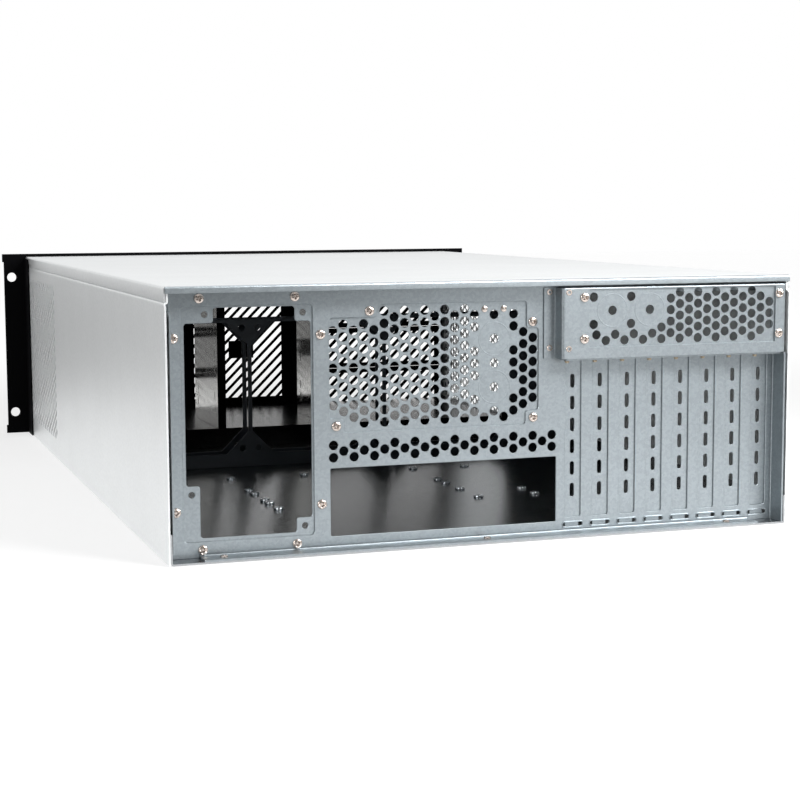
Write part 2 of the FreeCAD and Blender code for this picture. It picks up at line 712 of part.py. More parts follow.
def screw_set(name, places, face):
    """One screw at each place of a set."""
    return group(name + "_set", [panel_screw("%s_%d" % (name, number), across, up, face)
                                 for number, (across, up) in enumerate(places, 1)])


subpart(screw_set("psu_screw", psu_screw_places, "rear_recess"), "psu_plate_screws")
subpart(screw_set("vent_screw", vent_screw_places, "rear_recess"), "vent_plate_screws")
subpart(screw_set("guard_screw", guard_screw_places, GUARD_FACE), "guard_plate_screws")


def upright_screw(name, across, head_radius, shank_radius, shank, under_head):
    """A screw that points down at half the recess's depth, with its head resting on under_head."""
    head = prism(name + "_head", 6, head_radius, "head_height", across, "rear_recess / 2", under_head, "up")
    rod = prism(name + "_shank", 4, shank_radius, shank, across, "rear_recess / 2",
                "%s - %s" % (under_head, shank), "up")
    return fuse(name, head, rod)


foot_screws = [upright_screw("foot_screw_%d" % number, across, "foot_head_radius", "shank_radius", "metal",
                             "2 * metal") for number, across in enumerate(foot_places, 1)]
subpart(group("foot_screw_set", foot_screws), "panel_foot_screws")
slot_screws = [upright_screw("slot_screw_%d" % number, across, "head_radius", "tip_radius",
                             "tip_length", "slot_ledge + metal + thin_metal")
               for number, across in enumerate(slot_screw_places, 1)]
subpart(group("slot_screw_set", slot_screws), "slot_cover_screws")

rivet_places = [(across, up, face)
                for across, face in (("guard_left - guard_foot / 2", "rear_recess - metal"),
                                     ("guard_left + guard_rivet_in", GUARD_FACE))
                for up in (GUARD_LOW + " + guard_rivet_low", GUARD_TOP + " - guard_rivet_high")]
subpart(group("rivet_set", [prism("rivet_%d" % number, 6, "rivet_radius", "rivet_height", across, face, up)
                            for number, (across, up, face) in enumerate(rivet_places, 1)]), "guard_rivets")

# Standoffs: the board's columns and rows, counted from its rear corner
columns = {"first": "board_first", "second": "board_first + board_second", "third": "board_first + board_third",
           "extra": "board_first + board_extra"}
rows = {"rear": "board_rear_row"}
rows.update((row, "board_rear_row + board_step_" + row) for row in ("next", "mid", "far", "low", "front"))
standoff_plan = [("first", "rear"), ("first", "next"), ("first", "mid"), ("first", "far"), ("first", "low"),
                 ("first", "front"), ("extra", "front"), ("second", "rear"), ("second", "mid"), ("second", "far"),
                 ("second", "low"), ("second", "front"), ("third", "rear"), ("third", "next"), ("third", "front")]
standoffs = [prism("standoff_%d" % number, 6, "standoff_radius", "standoff_height", columns[column],
                   rows[row], "metal", "up")
             for number, (column, row) in enumerate(standoff_plan, 1)]
subpart(group("standoff_set", standoffs), "board_standoffs")

# Fan bracket: an open channel of two plates on a web, with a window and gussets for each fan
post_centres = [at.fan_first_post + step * at.fan_pitch for step in (-1, 0, 1, 2)]
fan_left, fan_right = 2 * at.metal, at.case_width - 2 * at.metal
fan_openings = []
for left, right in zip(post_centres, post_centres[1:]):
    low, high = at.fan_rail, at.fan_bracket_top - at.fan_top_rail
    near, far, bevel = left + at.fan_post / 2, right - at.fan_post / 2, at.fan_gusset
    fan_openings.append([(near + bevel, low), (far - bevel, low), (far, low + bevel), (far, high - bevel),
                         (far - bevel, high), (near + bevel, high), (near, high - bevel), (near, low + bevel)])
fan_middle = (at.fan_rail + at.fan_bracket_top - at.fan_top_rail) / 2
for post in post_centres:
    for side in (-1, 1):
        for end in (-1, 1):
            spot = (post + side * at.fan_hole_offset, fan_middle + end * at.fan_hole_spacing / 2)
            fan_openings.append(polygon(spot[0], spot[1], at.fan_hole, int(at.fan_hole_sides)))
fan_outline = rectangle(fan_left, at.metal, fan_right - fan_left, at.fan_bracket_top - at.metal)
fan_plates = [coded("fan_plate_%d" % number, upright(fan_outline, fan_openings, inward, at.metal))
              for number, inward in enumerate((fans, fans + at.fan_depth + at.metal), 1)]
fan_web = block("fan_web_plate", "2 * metal", "case_width - 4 * metal", FANS,
                "fan_depth + 2 * metal", "metal", "metal")
subpart(fuse("fan_channel", fan_web, *fan_plates), "fan_bracket")

# Raised tray: a black sheet folded down to the floor at its rear edge and its sides
tray_top = block("tray_top", "2 * metal", "case_width - 4 * metal", TRAY,
                 "tray_length - metal", "tray_height - metal", "metal")
tray_rear = block("tray_rear", "2 * metal", "case_width - 4 * metal", TRAY, "metal", "metal",
                  "tray_height - metal")
tray_left = block("tray_left", "2 * metal", "metal", TRAY, "tray_length - metal", "metal",
                  "tray_height - metal")
tray_right = block("tray_right", "case_width - 3 * metal", "metal", TRAY,
                   "tray_length - metal", "metal", "tray_height - metal")
subpart(fuse("tray", tray_top, tray_rear, tray_left, tray_right), "cage_tray")


# Drive cage: two ribbed side panels under a roof, on the tray
def cage_side(name, across, turned):
    """One side of the cage, with slotted windows, rails turned inwards and a flange at its rear edge."""
    panel = block(name + "_face", across, "metal", CAGE, "cage_depth", "tray_height",
                  "cage_top - tray_height")
    flange_from = across if turned else "%s + metal - cage_flange" % across
    flange = block(name + "_flange", flange_from, "cage_flange", CAGE, "metal", "tray_height",
                   "cage_top - tray_height")
    rail_from = "%s + metal" % across if turned else "%s - rail_reach" % across
    rails = [block("%s_rail_%d" % (name, number), rail_from, "rail_reach", CAGE + " + metal",
                   "cage_depth - metal", "tray_height + rail_low + %d * rail_pitch" % number, "rail_height")
             for number in range(3)]
    return [panel, flange] + rails


cage_roof = block("cage_roof", "cage_left", "cage_width", CAGE, "cage_depth", "cage_top - metal", "metal")
cage_pieces = cage_side("cage_near", "cage_left", True)
cage_pieces += cage_side("cage_far", "cage_left + cage_width - metal", False)
cage_body = fuse("cage_body", cage_roof, *cage_pieces)
cage_slots = [block("cage_slot_%d_%d" % (number, row), "cage_left - metal", "cage_width + 2 * metal", depth,
                    "cage_slot_width", "tray_height + cage_slot_low + %d * rail_pitch" % row, "cage_slot_height")
              for number, depth in enumerate((CAGE + " + cage_slot_inset",
                                              CAGE + " + cage_depth - cage_slot_inset - cage_slot_width"), 1)
              for row in range(3)]
subpart(cut("cage", cage_body, *cage_slots), "drive_cage")

# Front panel: a plate as wide as the rack, with bays, a grille window and returns along the walls
bay_lefts = [at.bay_inset, at.case_width - at.bay_inset - at.bay_width]
bay_height = at.bay_pitch * at.bay_count
bay_openings = [rectangle(left, at.bay_bottom, at.bay_width, bay_height) for left in bay_lefts]
ear_left, ear_right = -at.ear_width, at.case_width + at.ear_width
front_outline = [
    (ear_left, 0), (ear_right, 0), (ear_right, at.ear_tab), (ear_right - at.ear_step, at.ear_tab),
    (ear_right - at.ear_step, front_height - at.ear_tab), (ear_right, front_height - at.ear_tab),
    (ear_right, front_height), (ear_left, front_height), (ear_left, front_height - at.ear_tab),
    (ear_left + at.ear_step, front_height - at.ear_tab), (ear_left + at.ear_step, at.ear_tab),
    (ear_left, at.ear_tab),
]
grille_height = front_height - at.grille_top_margin - at.grille_bottom
grille_window = rectangle(at.grille_left, at.grille_bottom, at.grille_width, grille_height)
light_spots = [(at.light_across + step * at.light_pitch, button_up) for step in range(int(at.light_count))]
light_holes = [polygon(across, up, at.light_radius + at.shank_gap, 6) for across, up in light_spots]
front_sheet = coded("front_sheet", upright(front_outline, bay_openings + [grille_window] + light_holes,
                                           at.body_depth, at.front_metal))
returns = []
for name, across in (("left", "-metal"), ("right", "case_width")):
    side = block("return_%s" % name, across, "metal", "body_depth - side_return", "side_return", "0",
                 FRONT_HEIGHT + " - side_return_drop")
    bevel = doc.addObject("Part::Chamfer", "return_%s_bevel" % name)
    bevel.Base = side
    doc.recompute()
    edge = [number for number, line in enumerate(side.Shape.Edges, 1)
            if abs(line.CenterOfMass.y - side.Shape.BoundBox.YMax) < 0.01
            and abs(line.CenterOfMass.z - side.Shape.BoundBox.ZMax) < 0.01]
    bevel.Edges = [(number, at.return_chamfer, at.return_chamfer) for number in edge]
    returns.append(bevel)
front_body = fuse("front_body", front_sheet, *returns)
rack_bores = []
for across in ("rack_hole_inset - ear_width", "case_width + ear_width - rack_hole_inset"):
    for up in ("rack_hole_low", FRONT_HEIGHT + " - rack_hole_high"):
        rack_bores.append(cylinder("rack_bore_%d" % (len(rack_bores) + 1), "rack_hole", "3 * front_metal", across,
                                   "body_depth + 2 * front_metal", up))
for name, across, radius in (("power", "power_across", "power_radius"), ("reset", "reset_across", "reset_radius")):
    rack_bores.append(prism(name + "_bore", int(at.button_sides), radius + " + 2 * button_gap", "3 * front_metal",
                            across, "body_depth + 2 * front_metal", BUTTON_UP))
subpart(cut("front", front_body, *rack_bores), "front_panel")


# Bay covers and the centre grille, with slanted slots
def bay_cover(number, left, low):
    width, height = at.bay_width - 2 * at.bay_gap, at.bay_pitch - 2 * at.bay_gap
    left, low, edge = left + at.bay_gap, low + at.bay_gap, at.bay_border
    slots = louvres(left + edge, low + edge, width - 2 * edge, height - 2 * edge, at.bay_louvre_pitch)
    shape = upright(rectangle(left, low, width, height), slots, at.body_depth, at.front_metal)
    return coded("bay_plate_%d" % number, shape)


bay_number = 0
for left in bay_lefts:
    for row in range(int(at.bay_count)):
        bay_number += 1
        subpart(bay_cover(bay_number, left, at.bay_bottom + row * at.bay_pitch), "bay_cover_%d" % bay_number)

boss = (at.grille_boss_across - at.grille_boss / 2, at.grille_boss_up - at.grille_boss_height / 2,
        at.grille_boss, at.grille_boss_height)
grille_slots = louvres(at.grille_left, at.grille_bottom, at.grille_width, grille_height, at.louvre_pitch, boss)
grille_outline = rectangle(at.grille_left - at.grille_edge, at.grille_bottom - at.grille_edge,
                           at.grille_width + 2 * at.grille_edge, grille_height + 2 * at.grille_edge)
subpart(coded("grille", upright(grille_outline, grille_slots, at.body_depth - at.thin_metal, at.thin_metal)),
        "centre_grille")


# Power and reset buttons: a cap through the panel, a rim behind it and a bracket that backs the stems
def button(name, across, radius):
    """A cap that stands proud of the panel, with a rim that stops it and a short stem."""
    front = "body_depth + front_metal + button_stand"
    cap = prism(name + "_cap", int(at.button_sides), radius, "front_metal + button_stand + button_gap", across,
                front, BUTTON_UP)
    collar = prism(name + "_rim", int(at.button_sides), radius + " + button_rim", "button_flange", across,
                   "body_depth - button_gap", BUTTON_UP)
    return fuse(name + "_whole", cap, collar)


subpart(button("power", "power_across", "power_radius"), "power_button")
subpart(button("reset", "reset_across", "reset_radius"), "reset_button")

BRACKET = "(body_depth - 2 * button_gap - button_flange - button_travel)"
SWITCH_LEFT = "(power_across - power_radius - button_rim - switch_margin)"
SWITCH_LOW = "(%s - switch_plate_height / 2)" % BUTTON_UP
switch_face = block("switch_face", SWITCH_LEFT, "switch_plate_width", BRACKET + " - metal", "metal", SWITCH_LOW,
                    "switch_plate_height")
switch_side = block("switch_side", SWITCH_LEFT, "metal", BRACKET, "body_depth - " + BRACKET, SWITCH_LOW,
                    "switch_plate_height")
switch_foot = block("switch_foot_face", SWITCH_LEFT + " - switch_foot", "switch_foot + metal", "body_depth - metal",
                    "metal", SWITCH_LOW, "switch_plate_height")
subpart(fuse("switch_bracket_body", switch_face, switch_side, switch_foot), "switch_bracket")
lights = [prism("light_%d" % (number + 1), 6, "light_radius", "light_length",
                "light_across + %d * light_pitch" % number, "body_depth + front_metal", BUTTON_UP)
          for number in range(int(at.light_count))]
subpart(group("light_set", lights), "status_lights")

doc.recompute()
failed = [thing.Label for thing in doc.Objects if {"Invalid", "Error"} & set(thing.State)]
failed += [thing.Label for thing in subparts if thing.Shape.isNull() or not thing.Shape.isValid()]
if failed:
    raise RuntimeError("these did not build: " + ", ".join(failed))

os.makedirs("parts", exist_ok=True)
for thing in subparts:
    thing.Shape.exportStep(os.path.join("parts", thing.Label + ".step"))
print("%d sub-parts written" % len(subparts))
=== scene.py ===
"""Looks of an empty rackmount server case: its sheet metal, fasteners, finishes, camera and stage.

The CAD frame is loaded first. New pieces take their places from its nodes' boxes, and each stands for the
node that it is made from. Shapes are worked out in millimetres along three distances, and put_into_frame
turns them into the frame's metres:
    across  from the outside of the +X side wall towards the -X side wall
    up      from the floor
    inward  from the rear rim towards the front
"""
import math

import bpy
import numpy as np
from bpy.props import FloatProperty, FloatVectorProperty, IntProperty, PointerProperty
from mathutils import Matrix, Vector
from mathutils.geometry import delaunay_2d_cdt


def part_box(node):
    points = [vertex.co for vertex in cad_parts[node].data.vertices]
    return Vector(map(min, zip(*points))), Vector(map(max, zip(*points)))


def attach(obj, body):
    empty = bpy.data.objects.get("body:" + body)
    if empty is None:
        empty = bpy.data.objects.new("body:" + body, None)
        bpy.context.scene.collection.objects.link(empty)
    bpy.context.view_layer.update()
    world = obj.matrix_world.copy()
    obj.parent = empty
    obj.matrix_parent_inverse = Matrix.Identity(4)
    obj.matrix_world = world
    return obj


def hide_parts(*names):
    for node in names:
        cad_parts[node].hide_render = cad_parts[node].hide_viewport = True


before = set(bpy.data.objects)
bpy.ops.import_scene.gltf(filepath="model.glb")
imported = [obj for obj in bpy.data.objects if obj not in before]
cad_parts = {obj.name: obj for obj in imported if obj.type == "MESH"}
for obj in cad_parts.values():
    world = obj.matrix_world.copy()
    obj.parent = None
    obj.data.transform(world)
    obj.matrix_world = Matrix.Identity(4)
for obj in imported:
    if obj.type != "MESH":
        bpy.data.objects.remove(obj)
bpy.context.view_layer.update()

bl_info = {
    "name": "Rackmount server case",
    "version": (1, 0, 0),
    "blender": (4, 5, 0),
    "location": "View3D > Sidebar > Case",
    "description": "Sheet metal, fasteners and finishes of an empty rackmount server case",
    "category": "Object",
}

MM = 0.001

# The frame's own driving dimensions, in millimetres
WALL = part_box("side_wall_left")
HALF_WIDTH = WALL[1][0] / MM
WIDTH = 2 * HALF_WIDTH
RIM = WALL[1][1] / MM
DEPTH = RIM - WALL[0][1] / MM

# Sheet metal: two thicknesses, the inside radius of a bend, how far a bend reaches from its corner, and how
# far the walls step in under the cover's flanges
METAL = 1.2
THIN = 1.0
BEND = 0.6
REACH = METAL + BEND + 0.4
JOG = METAL + 0.3

# Planes to draw in: each row is where one of a shape's own three directions goes in the frame
ACROSS, UP, INWARD = (-1.0, 0.0, 0.0), (0.0, 0.0, 1.0), (0.0, -1.0, 0.0)
REAR = np.array([ACROSS, UP, INWARD])
SIDE = np.array([INWARD, UP, ACROSS])
FLAT = np.array([ACROSS, INWARD, UP])


class Seat:
    """A node's box in millimetres: left and right across, low and high up, near and far inward."""

    def __init__(self, node):
        low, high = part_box(node)
        self.left, self.right = HALF_WIDTH - high[0] / MM, HALF_WIDTH - low[0] / MM
        self.near, self.far = RIM - high[1] / MM, RIM - low[1] / MM
        self.low, self.high = low[2] / MM, high[2] / MM

    def outline(self):
        """The box as it is seen from the rear."""
        return box_outline(self.left, self.right, self.low, self.high)


# Outlines
def box_outline(left, right, low, high):
    """The four corners of a rectangle, turning left."""
    return np.array([(left, low), (right, low), (right, high), (left, high)], float)


def notched(left, right, low, high, *notches):
    """A rectangle whose corners are cut square. From the low left corner and turning left, each notch is how
    far its cut goes across and up, or None for a plain corner."""
    points = []
    corners = [(left, low, 1, 1), (right, low, -1, 1), (right, high, -1, -1), (left, high, 1, -1)]
    for (across, up, east, north), notch in zip(corners, notches):
        if notch:
            inner = (across + east * notch[0], up + north * notch[1])
            cut = [(across, inner[1]), inner, (inner[0], up)]
            points += cut if east == north else cut[::-1]
        else:
            points.append((across, up))
    return np.array(points, float)


def ring(across, up, radius, sides=20):
    """A circle's points: centre plus radius times the cosine and sine of equal steps of angle."""
    angle = np.linspace(0, 2 * math.pi, sides, endpoint=False)
    return np.stack([across + radius * np.cos(angle), up + radius * np.sin(angle)], 1)


def long_hole(across, low, high, radius, steps=7):
    """An upright slot with round ends: two half circles, one at each end."""
    angle = np.linspace(0, math.pi, steps)
    top = np.stack([across + radius * np.cos(angle), high - radius + radius * np.sin(angle)], 1)
    foot = np.stack([across - radius * np.cos(angle), low + radius - radius * np.sin(angle)], 1)
    return np.concatenate([top, foot])


def filleted(points, radius, steps=5, closed=True):
    """Each corner as an arc that touches both of its sides. The arc's centre lies on the corner's bisector,
    and its points go from one touching point to the other by equal steps of angle."""
    points = np.asarray(points, float)
    radii = np.broadcast_to(radius, len(points)).astype(float).copy()
    if not closed:
        radii[[0, -1]] = 0
    back, ahead = np.roll(points, 1, 0) - points, np.roll(points, -1, 0) - points
    back /= np.linalg.norm(back, axis=1, keepdims=True)
    ahead /= np.linalg.norm(ahead, axis=1, keepdims=True)
    half = np.arccos(np.clip((back * ahead).sum(1), -1, 1)) / 2
    trim = radii / np.tan(np.maximum(half, 0.01))
    start = points + back * trim[:, None]
    middle = points + (back + ahead) / (2 * np.cos(half))[:, None] * (radii / np.sin(half))[:, None]
    spoke = start - middle
    turn = np.sign(back[:, 0] * ahead[:, 1] - back[:, 1] * ahead[:, 0]) * -1
    angle = turn[:, None] * (math.pi - 2 * half)[:, None] * np.linspace(0, 1, steps)[None]
    cos, sin = np.cos(angle), np.sin(angle)
    arcs = np.stack([spoke[:, :1] * cos - spoke[:, 1:] * sin, spoke[:, :1] * sin + spoke[:, 1:] * cos], 2)
    arcs = arcs + middle[:, None]
    return np.concatenate([arc if r > 0 else point[None] for arc, r, point in zip(arcs, radii, points)])


def shifted(points, distance, closed=True):
    """The line moved sideways to its left: each point goes along the mitre of its two sides' normals."""
    side = np.roll(points, -1, 0) - points
    side /= np.maximum(np.linalg.norm(side, axis=1, keepdims=True), 1e-9)
    normal = np.stack([-side[:, 1], side[:, 0]], 1)
    before = np.roll(normal, 1, 0)
    if not closed:
        before[0], normal[-1] = normal[0], before[-1]
    mitre = (before + normal) / (1 + (before * normal).sum(1))[:, None]
    return points + mitre * distance


def folded(path, thick=METAL, bend=BEND):
    """The section of a bent sheet: the path of its right-hand face, with each bend rounded, and the same
    path moved left by the thickness. The inside of every bend has the bend radius."""
    path = np.asarray(path, float)
    step = np.diff(path, axis=0)
    turning = step[:-1, 0] * step[1:, 1] - step[:-1, 1] * step[1:, 0]
    radii = np.concatenate([[0], np.where(turning > 0, bend + thick, bend), [0]])
    face = filleted(path, radii, closed=False)
    return np.concatenate([face, shifted(face, thick, closed=False)[::-1]])


def turned_left(outline):
    """Whether an outline goes round to the left: the sign of its area by the cross products of its sides."""
    after = np.roll(outline, -1, 0)
    return (outline[:, 0] * after[:, 1] - after[:, 0] * outline[:, 1]).sum() > 0


# Meshes
def put_into_frame(points, faces, plane):
    """Points along a plane's three directions become places in the frame. A plane that mirrors turns its
    faces round."""
    places = (np.asarray(points) @ plane + (HALF_WIDTH, RIM, 0.0)) * MM
    if np.linalg.det(plane) < 0:
        faces = [face[::-1] for face in faces]
    return places, faces


def skin(here, after, levels, closed=False):
    """Four-sided faces between each loop of points and the next one. All loops have as many points, here and
    after number the points of the first one, and closed joins the last loop to the first."""
    count = len(here)
    walls = []
    for level in range(levels):
        near, far = level * count, (level + 1) % levels * count if closed else (level + 1) * count
        walls.append(np.column_stack([here + near, after + near, after + far, here + far]))
    return np.concatenate(walls).tolist()


def plate(outline, openings, near, thick=METAL, plane=REAR, ease=0.3):
    """A flat sheet. The face is the outline less its openings, cut into triangles between their points. The
    edge of each is the profile (ease, 0), (0, ease), (0, thick - ease), (ease, thick), as distance from the
    edge and depth, carried round the outline."""
    loops = [outline if turned_left(outline) else outline[::-1]]
    loops += [opening[::-1] if turned_left(opening) else opening for opening in openings]
    starts = np.cumsum([0] + [len(loop) for loop in loops])
    count = starts[-1]
    eased = np.concatenate([shifted(loop, ease) for loop in loops])
    true = np.concatenate(loops)
    rounds = [list(range(first, last)) for first, last in zip(starts, starts[1:])]
    rounds[1:] = [loop[::-1] for loop in rounds[1:]]
    cut = delaunay_2d_cdt([Vector(point) for point in eased], [], rounds, 1, 1e-7, True)
    origin = np.array([old[0] if old else -1 for old in cut[3]])
    if len(origin) != count or (origin < 0).any():
        raise RuntimeError("outlines cross on a sheet")
    triangles = origin[np.array([face for face, loops_round in zip(cut[2], cut[5]) if loops_round == [0]])]
    rings = [(eased, near), (true, near + ease), (true, near + thick - ease), (eased, near + thick)]
    points = np.concatenate([np.column_stack([flat, np.full(count, depth)]) for flat, depth in rings])
    here = np.arange(count)
    after = here + 1
    after[starts[1:] - 1] = starts[:-1]
    faces = triangles[:, ::-1].tolist() + (triangles + 3 * count).tolist() + skin(here, after, 3)
    return put_into_frame(points, faces, plane)


def bar(section, start, end, plane, ease=0.05):
    """A folded sheet: its section carried straight along the plane's third direction."""
    return plate(section, [], start, end - start, plane, ease)


def turned(profile, centre, plane=REAR, sides=24, shape=None):
    """A turned piece: a profile of (radius, depth) pairs, from its front outwards and back, carried round
    the axis. Radius times the cosine and sine of the angle gives the place, and shape may add depth to each
    point. The ends are closed."""
    profile = np.asarray(profile, float)
    angle = np.linspace(0, 2 * math.pi, sides, endpoint=False)
    radius, depth = np.repeat(profile[:, 0], sides), np.repeat(profile[:, 1], sides)
    about = np.tile(angle, len(profile))
    points = np.column_stack([radius * np.cos(about), radius * np.sin(about), depth])
    if shape:
        points[:, 2] += shape(points[:, 0], points[:, 1])
    points += centre
    here = np.arange(sides)
    rings = len(profile) - 1
    faces = skin(here, (here + 1) % sides, rings)
    faces += [here[::-1].tolist(), (here + rings * sides).tolist()]
    return put_into_frame(points, faces, plane)


# How far beads and marks reach into their sheet
SUNK = 0.02


def bead(loops, depths):
    """A closed bead on an upright sheet: loops of points, one round another and each at its depth, with the
    last joined to the first."""
    count = len(loops[0])
    here = np.arange(count)
    points = np.concatenate([np.column_stack([loop, np.full(count, depth)])
                             for loop, depth in zip(loops, depths)])
    return put_into_frame(points, skin(here, (here + 1) % count, len(loops), closed=True), REAR)


def raised_rim(outline, face, width=0.9, height=0.45):
    """A low rounded bead round an opening: half a circle's cosine and sine, as distance out from the edge
    and height off the face, carried round the outline."""
    angle = np.linspace(math.pi, 0, 5)
    outline = outline if turned_left(outline) else outline[::-1]
    loops = [shifted(outline, -step) for step in width / 2 * (1 - np.cos(angle))]
    return bead(loops, face + SUNK - height * np.sin(angle))


def knockout_ring(across, up, face, radius=11.0, width=0.9, height=0.16):
    """The raised rim of a knock-out: the same low bead, carried round a circle of this radius."""
    angle = np.linspace(math.pi, 0, 5)
    loops = [ring(across, up, radius + step, 48) for step in width / 2 * np.cos(angle)]
    return bead(loops, face + SUNK - height * np.sin(angle))


def make(name, parts, node, coat, body="chassis"):
    """One object from the parts. It stands for the CAD node, rides on the body and has the finish that coat
    names."""
    start, points, faces = 0, [], []
    for places, own in parts:
        points.append(places)
        faces += [[start + index for index in face] for face in own]
        start += len(places)
    mesh = bpy.data.meshes.new(name)
    mesh.from_pydata(np.concatenate(points).tolist(), [], faces)
    mesh.update()
    mesh.polygons.foreach_set("use_smooth", np.ones(len(mesh.polygons), bool))
    mesh.set_sharp_from_angle(angle=math.radians(32))
    mesh.materials.append(finish(coat))
    piece = bpy.data.objects.new(name, mesh)
    bpy.context.scene.collection.objects.link(piece)
    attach(piece, body)
    if node:
        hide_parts(node)
    return piece


# Finishes
def add_node(tree, kind, inputs=None, **settings):
    """A shader node of this kind. Each input, by its name or number, is linked or set to a value."""
    made = tree.nodes.new("ShaderNode" + kind)
    for key, value in settings.items():
        setattr(made, key, value)
    for key, value in (inputs or {}).items():
        if hasattr(value, "is_output"):
            tree.links.new(value, made.inputs[key])
        else:
            made.inputs[key].default_value = value
    return made


class Finish:
    """A procedural material: nodes on Object coordinates that end in one Principled shader."""

    def __init__(self, name, metallic=0.0):
        self.material = bpy.data.materials.new(name)
        self.material.use_nodes = True
        self.tree = self.material.node_tree
        self.shader = self.tree.nodes["Principled BSDF"]
        self.shader.inputs["Metallic"].default_value = metallic
        self.place = self.node("TexCoord").outputs["Object"]

    def node(self, kind, inputs=None, **settings):
        return add_node(self.tree, kind, inputs, **settings)

    def grain(self, size, detail=2.0):
        """Noise between 0 and 1 with features of about this size in millimetres."""
        inputs = {"Vector": self.place, "Scale": 1 / (size * MM), "Detail": detail}
        return self.node("TexNoise", inputs).outputs["Fac"]

    def between(self, factor, low, high):
        """The middle half of a factor between 0 and 1, carried to low..high and held there."""
        inputs = {"Value": factor, "From Min": 0.25, "From Max": 0.75, "To Min": low, "To Max": high}
        return self.node("MapRange", inputs).outputs["Result"]

    def tint(self, colour, *factors):
        """The colour times each factor, which all lie near 1."""
        shade = factors[0]
        for factor in factors[1:]:
            shade = self.node("Math", {0: shade, 1: factor}, operation="MULTIPLY").outputs[0]
        scaled = self.node("VectorMath", {0: colour, "Scale": shade}, operation="SCALE").outputs["Vector"]
        self.tree.links.new(scaled, self.shader.inputs["Base Color"])

    def roughen(self, factor):
        """The roughness, from a factor."""
        self.tree.links.new(factor, self.shader.inputs["Roughness"])

    def raise_by(self, height, depth, strength):
        """Bump from a height between 0 and 1 that stands for this depth in millimetres."""
        bump = self.node("Bump", {"Height": height, "Distance": depth * MM, "Strength": strength})
        self.tree.links.new(bump.outputs["Normal"], self.shader.inputs["Normal"])


def galvanised(name, colour, low, high, contrast=0.05, spangle=1.6, metallic=1.0, relief=0.35):
    """Zinc-coated steel between two roughnesses: small crystal spangle in colour and gloss, and faint broad
    clouds."""
    steel = Finish(name, metallic)
    crystals = steel.node("TexVoronoi", {"Vector": steel.place, "Scale": 1 / (spangle * MM)})
    crystal = steel.node("SeparateColor", {"Color": crystals.outputs["Color"]}).outputs[0]
    spark = steel.between(crystal, 1 - contrast, 1 + contrast)
    fleck = steel.between(steel.grain(0.8, 1.0), 1 - contrast * 0.8, 1 + contrast * 0.8)
    cloud = steel.between(steel.grain(60.0), 0.975, 1.02)
    steel.tint(colour, spark, fleck, cloud)
    steel.roughen(steel.between(steel.grain(3.0), low, high))
    steel.raise_by(steel.grain(2.2, 3.0), 0.05, relief)
    return steel.material


def painted(name, colour, roughness, specks=0.6, depth=0.05, gloss=0.5):
    """Powder coat or plastic: an even colour with a fine orange-peel surface."""
    paint = Finish(name)
    paint.shader.inputs["Specular IOR Level"].default_value = gloss
    speckle = paint.between(paint.grain(specks), 0.9, 1.1)
    paint.tint(colour, speckle, paint.between(paint.grain(25.0), 0.95, 1.05))
    paint.roughen(paint.between(paint.grain(specks * 2), roughness - 0.06, roughness + 0.06))
    paint.raise_by(paint.grain(specks, 3.0), depth, 0.5)
    return paint.material


def plated(name, colour, roughness):
    """Plated metal of small turned parts, with faint smudges."""
    metal = Finish(name, metallic=1.0)
    metal.tint(colour, metal.between(metal.grain(1.2), 0.92, 1.05))
    metal.roughen(metal.between(metal.grain(0.7), roughness - 0.07, roughness + 0.08))
    return metal.material


# How each finish is made, the user's colour that it starts from, and its own values
RECIPES = {
    # Sheet, cover and wall steel are one zinc coating in three brightnesses: painted light makes the cover
    # and walls lighter where the lamps fall on them, painted shade makes the rear's sheet darker
    "sheet_steel": (galvanised, "steel", {"low": 0.3, "high": 0.38, "metallic": 0.8}),
    "cage_steel": (galvanised, "cage", {"low": 0.12, "high": 0.18, "contrast": 0.03, "spangle": 2.4,
                                        "relief": 0.04}),
    "cover_steel": (galvanised, "cover", {"low": 0.34, "high": 0.42, "contrast": 0.02}),
    "wall_steel": (galvanised, "wall", {"low": 0.34, "high": 0.42, "contrast": 0.02, "metallic": 0.6}),
    "floor_steel": (galvanised, "floor", {"low": 0.2, "high": 0.27, "contrast": 0.03, "spangle": 2.4,
                                          "relief": 0.15}),
    # Black paint of the front, and the same black put on the cage's rear flanges as painted shade
    "black_paint": (painted, "black", {"roughness": 0.6, "gloss": 0.02}),
    "tray_paint": (painted, "black", {"roughness": 0.22, "gloss": 0.35}),
    "slate_paint": (painted, "slate", {"roughness": 0.42, "specks": 0.8, "gloss": 0.4}),
    "nickel": (plated, "nickel", {"roughness": 0.24}),
    "nut_steel": (plated, "nut", {"roughness": 0.16}),
    # Brass with its own yellow, darkened as painted shade for screws in the shade under the guard
    "brass": (plated, "brass", {"roughness": 0.3}),
    "button_plastic": (painted, "button", {"roughness": 0.38, "specks": 0.5, "depth": 0.02}),
    "light_plastic": (painted, "light", {"roughness": 0.2, "specks": 0.5, "depth": 0.01}),
}
FINISHES = {}


def finish(name):
    """The finish of that name, made at its first use."""
    if name not in FINISHES:
        recipe, shade, values = RECIPES[name]
        colour = tuple(getattr(bpy.context.scene.case_colours, shade))[:3]
        FINISHES[name] = recipe(name, colour, **values)
    return FINISHES[name]


def refinish(name, node):
    """A CAD node that stays keeps its shape and gets the finish of that name in its material slots."""
    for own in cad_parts[node].material_slots:
        own.material = finish(name)


# What the user may change
def shade(name, description, *colour):
    """A colour, given as red, green and blue."""
    return FloatVectorProperty(name=name, description=description, subtype="COLOR", size=3, min=0, max=1,
                               default=colour)


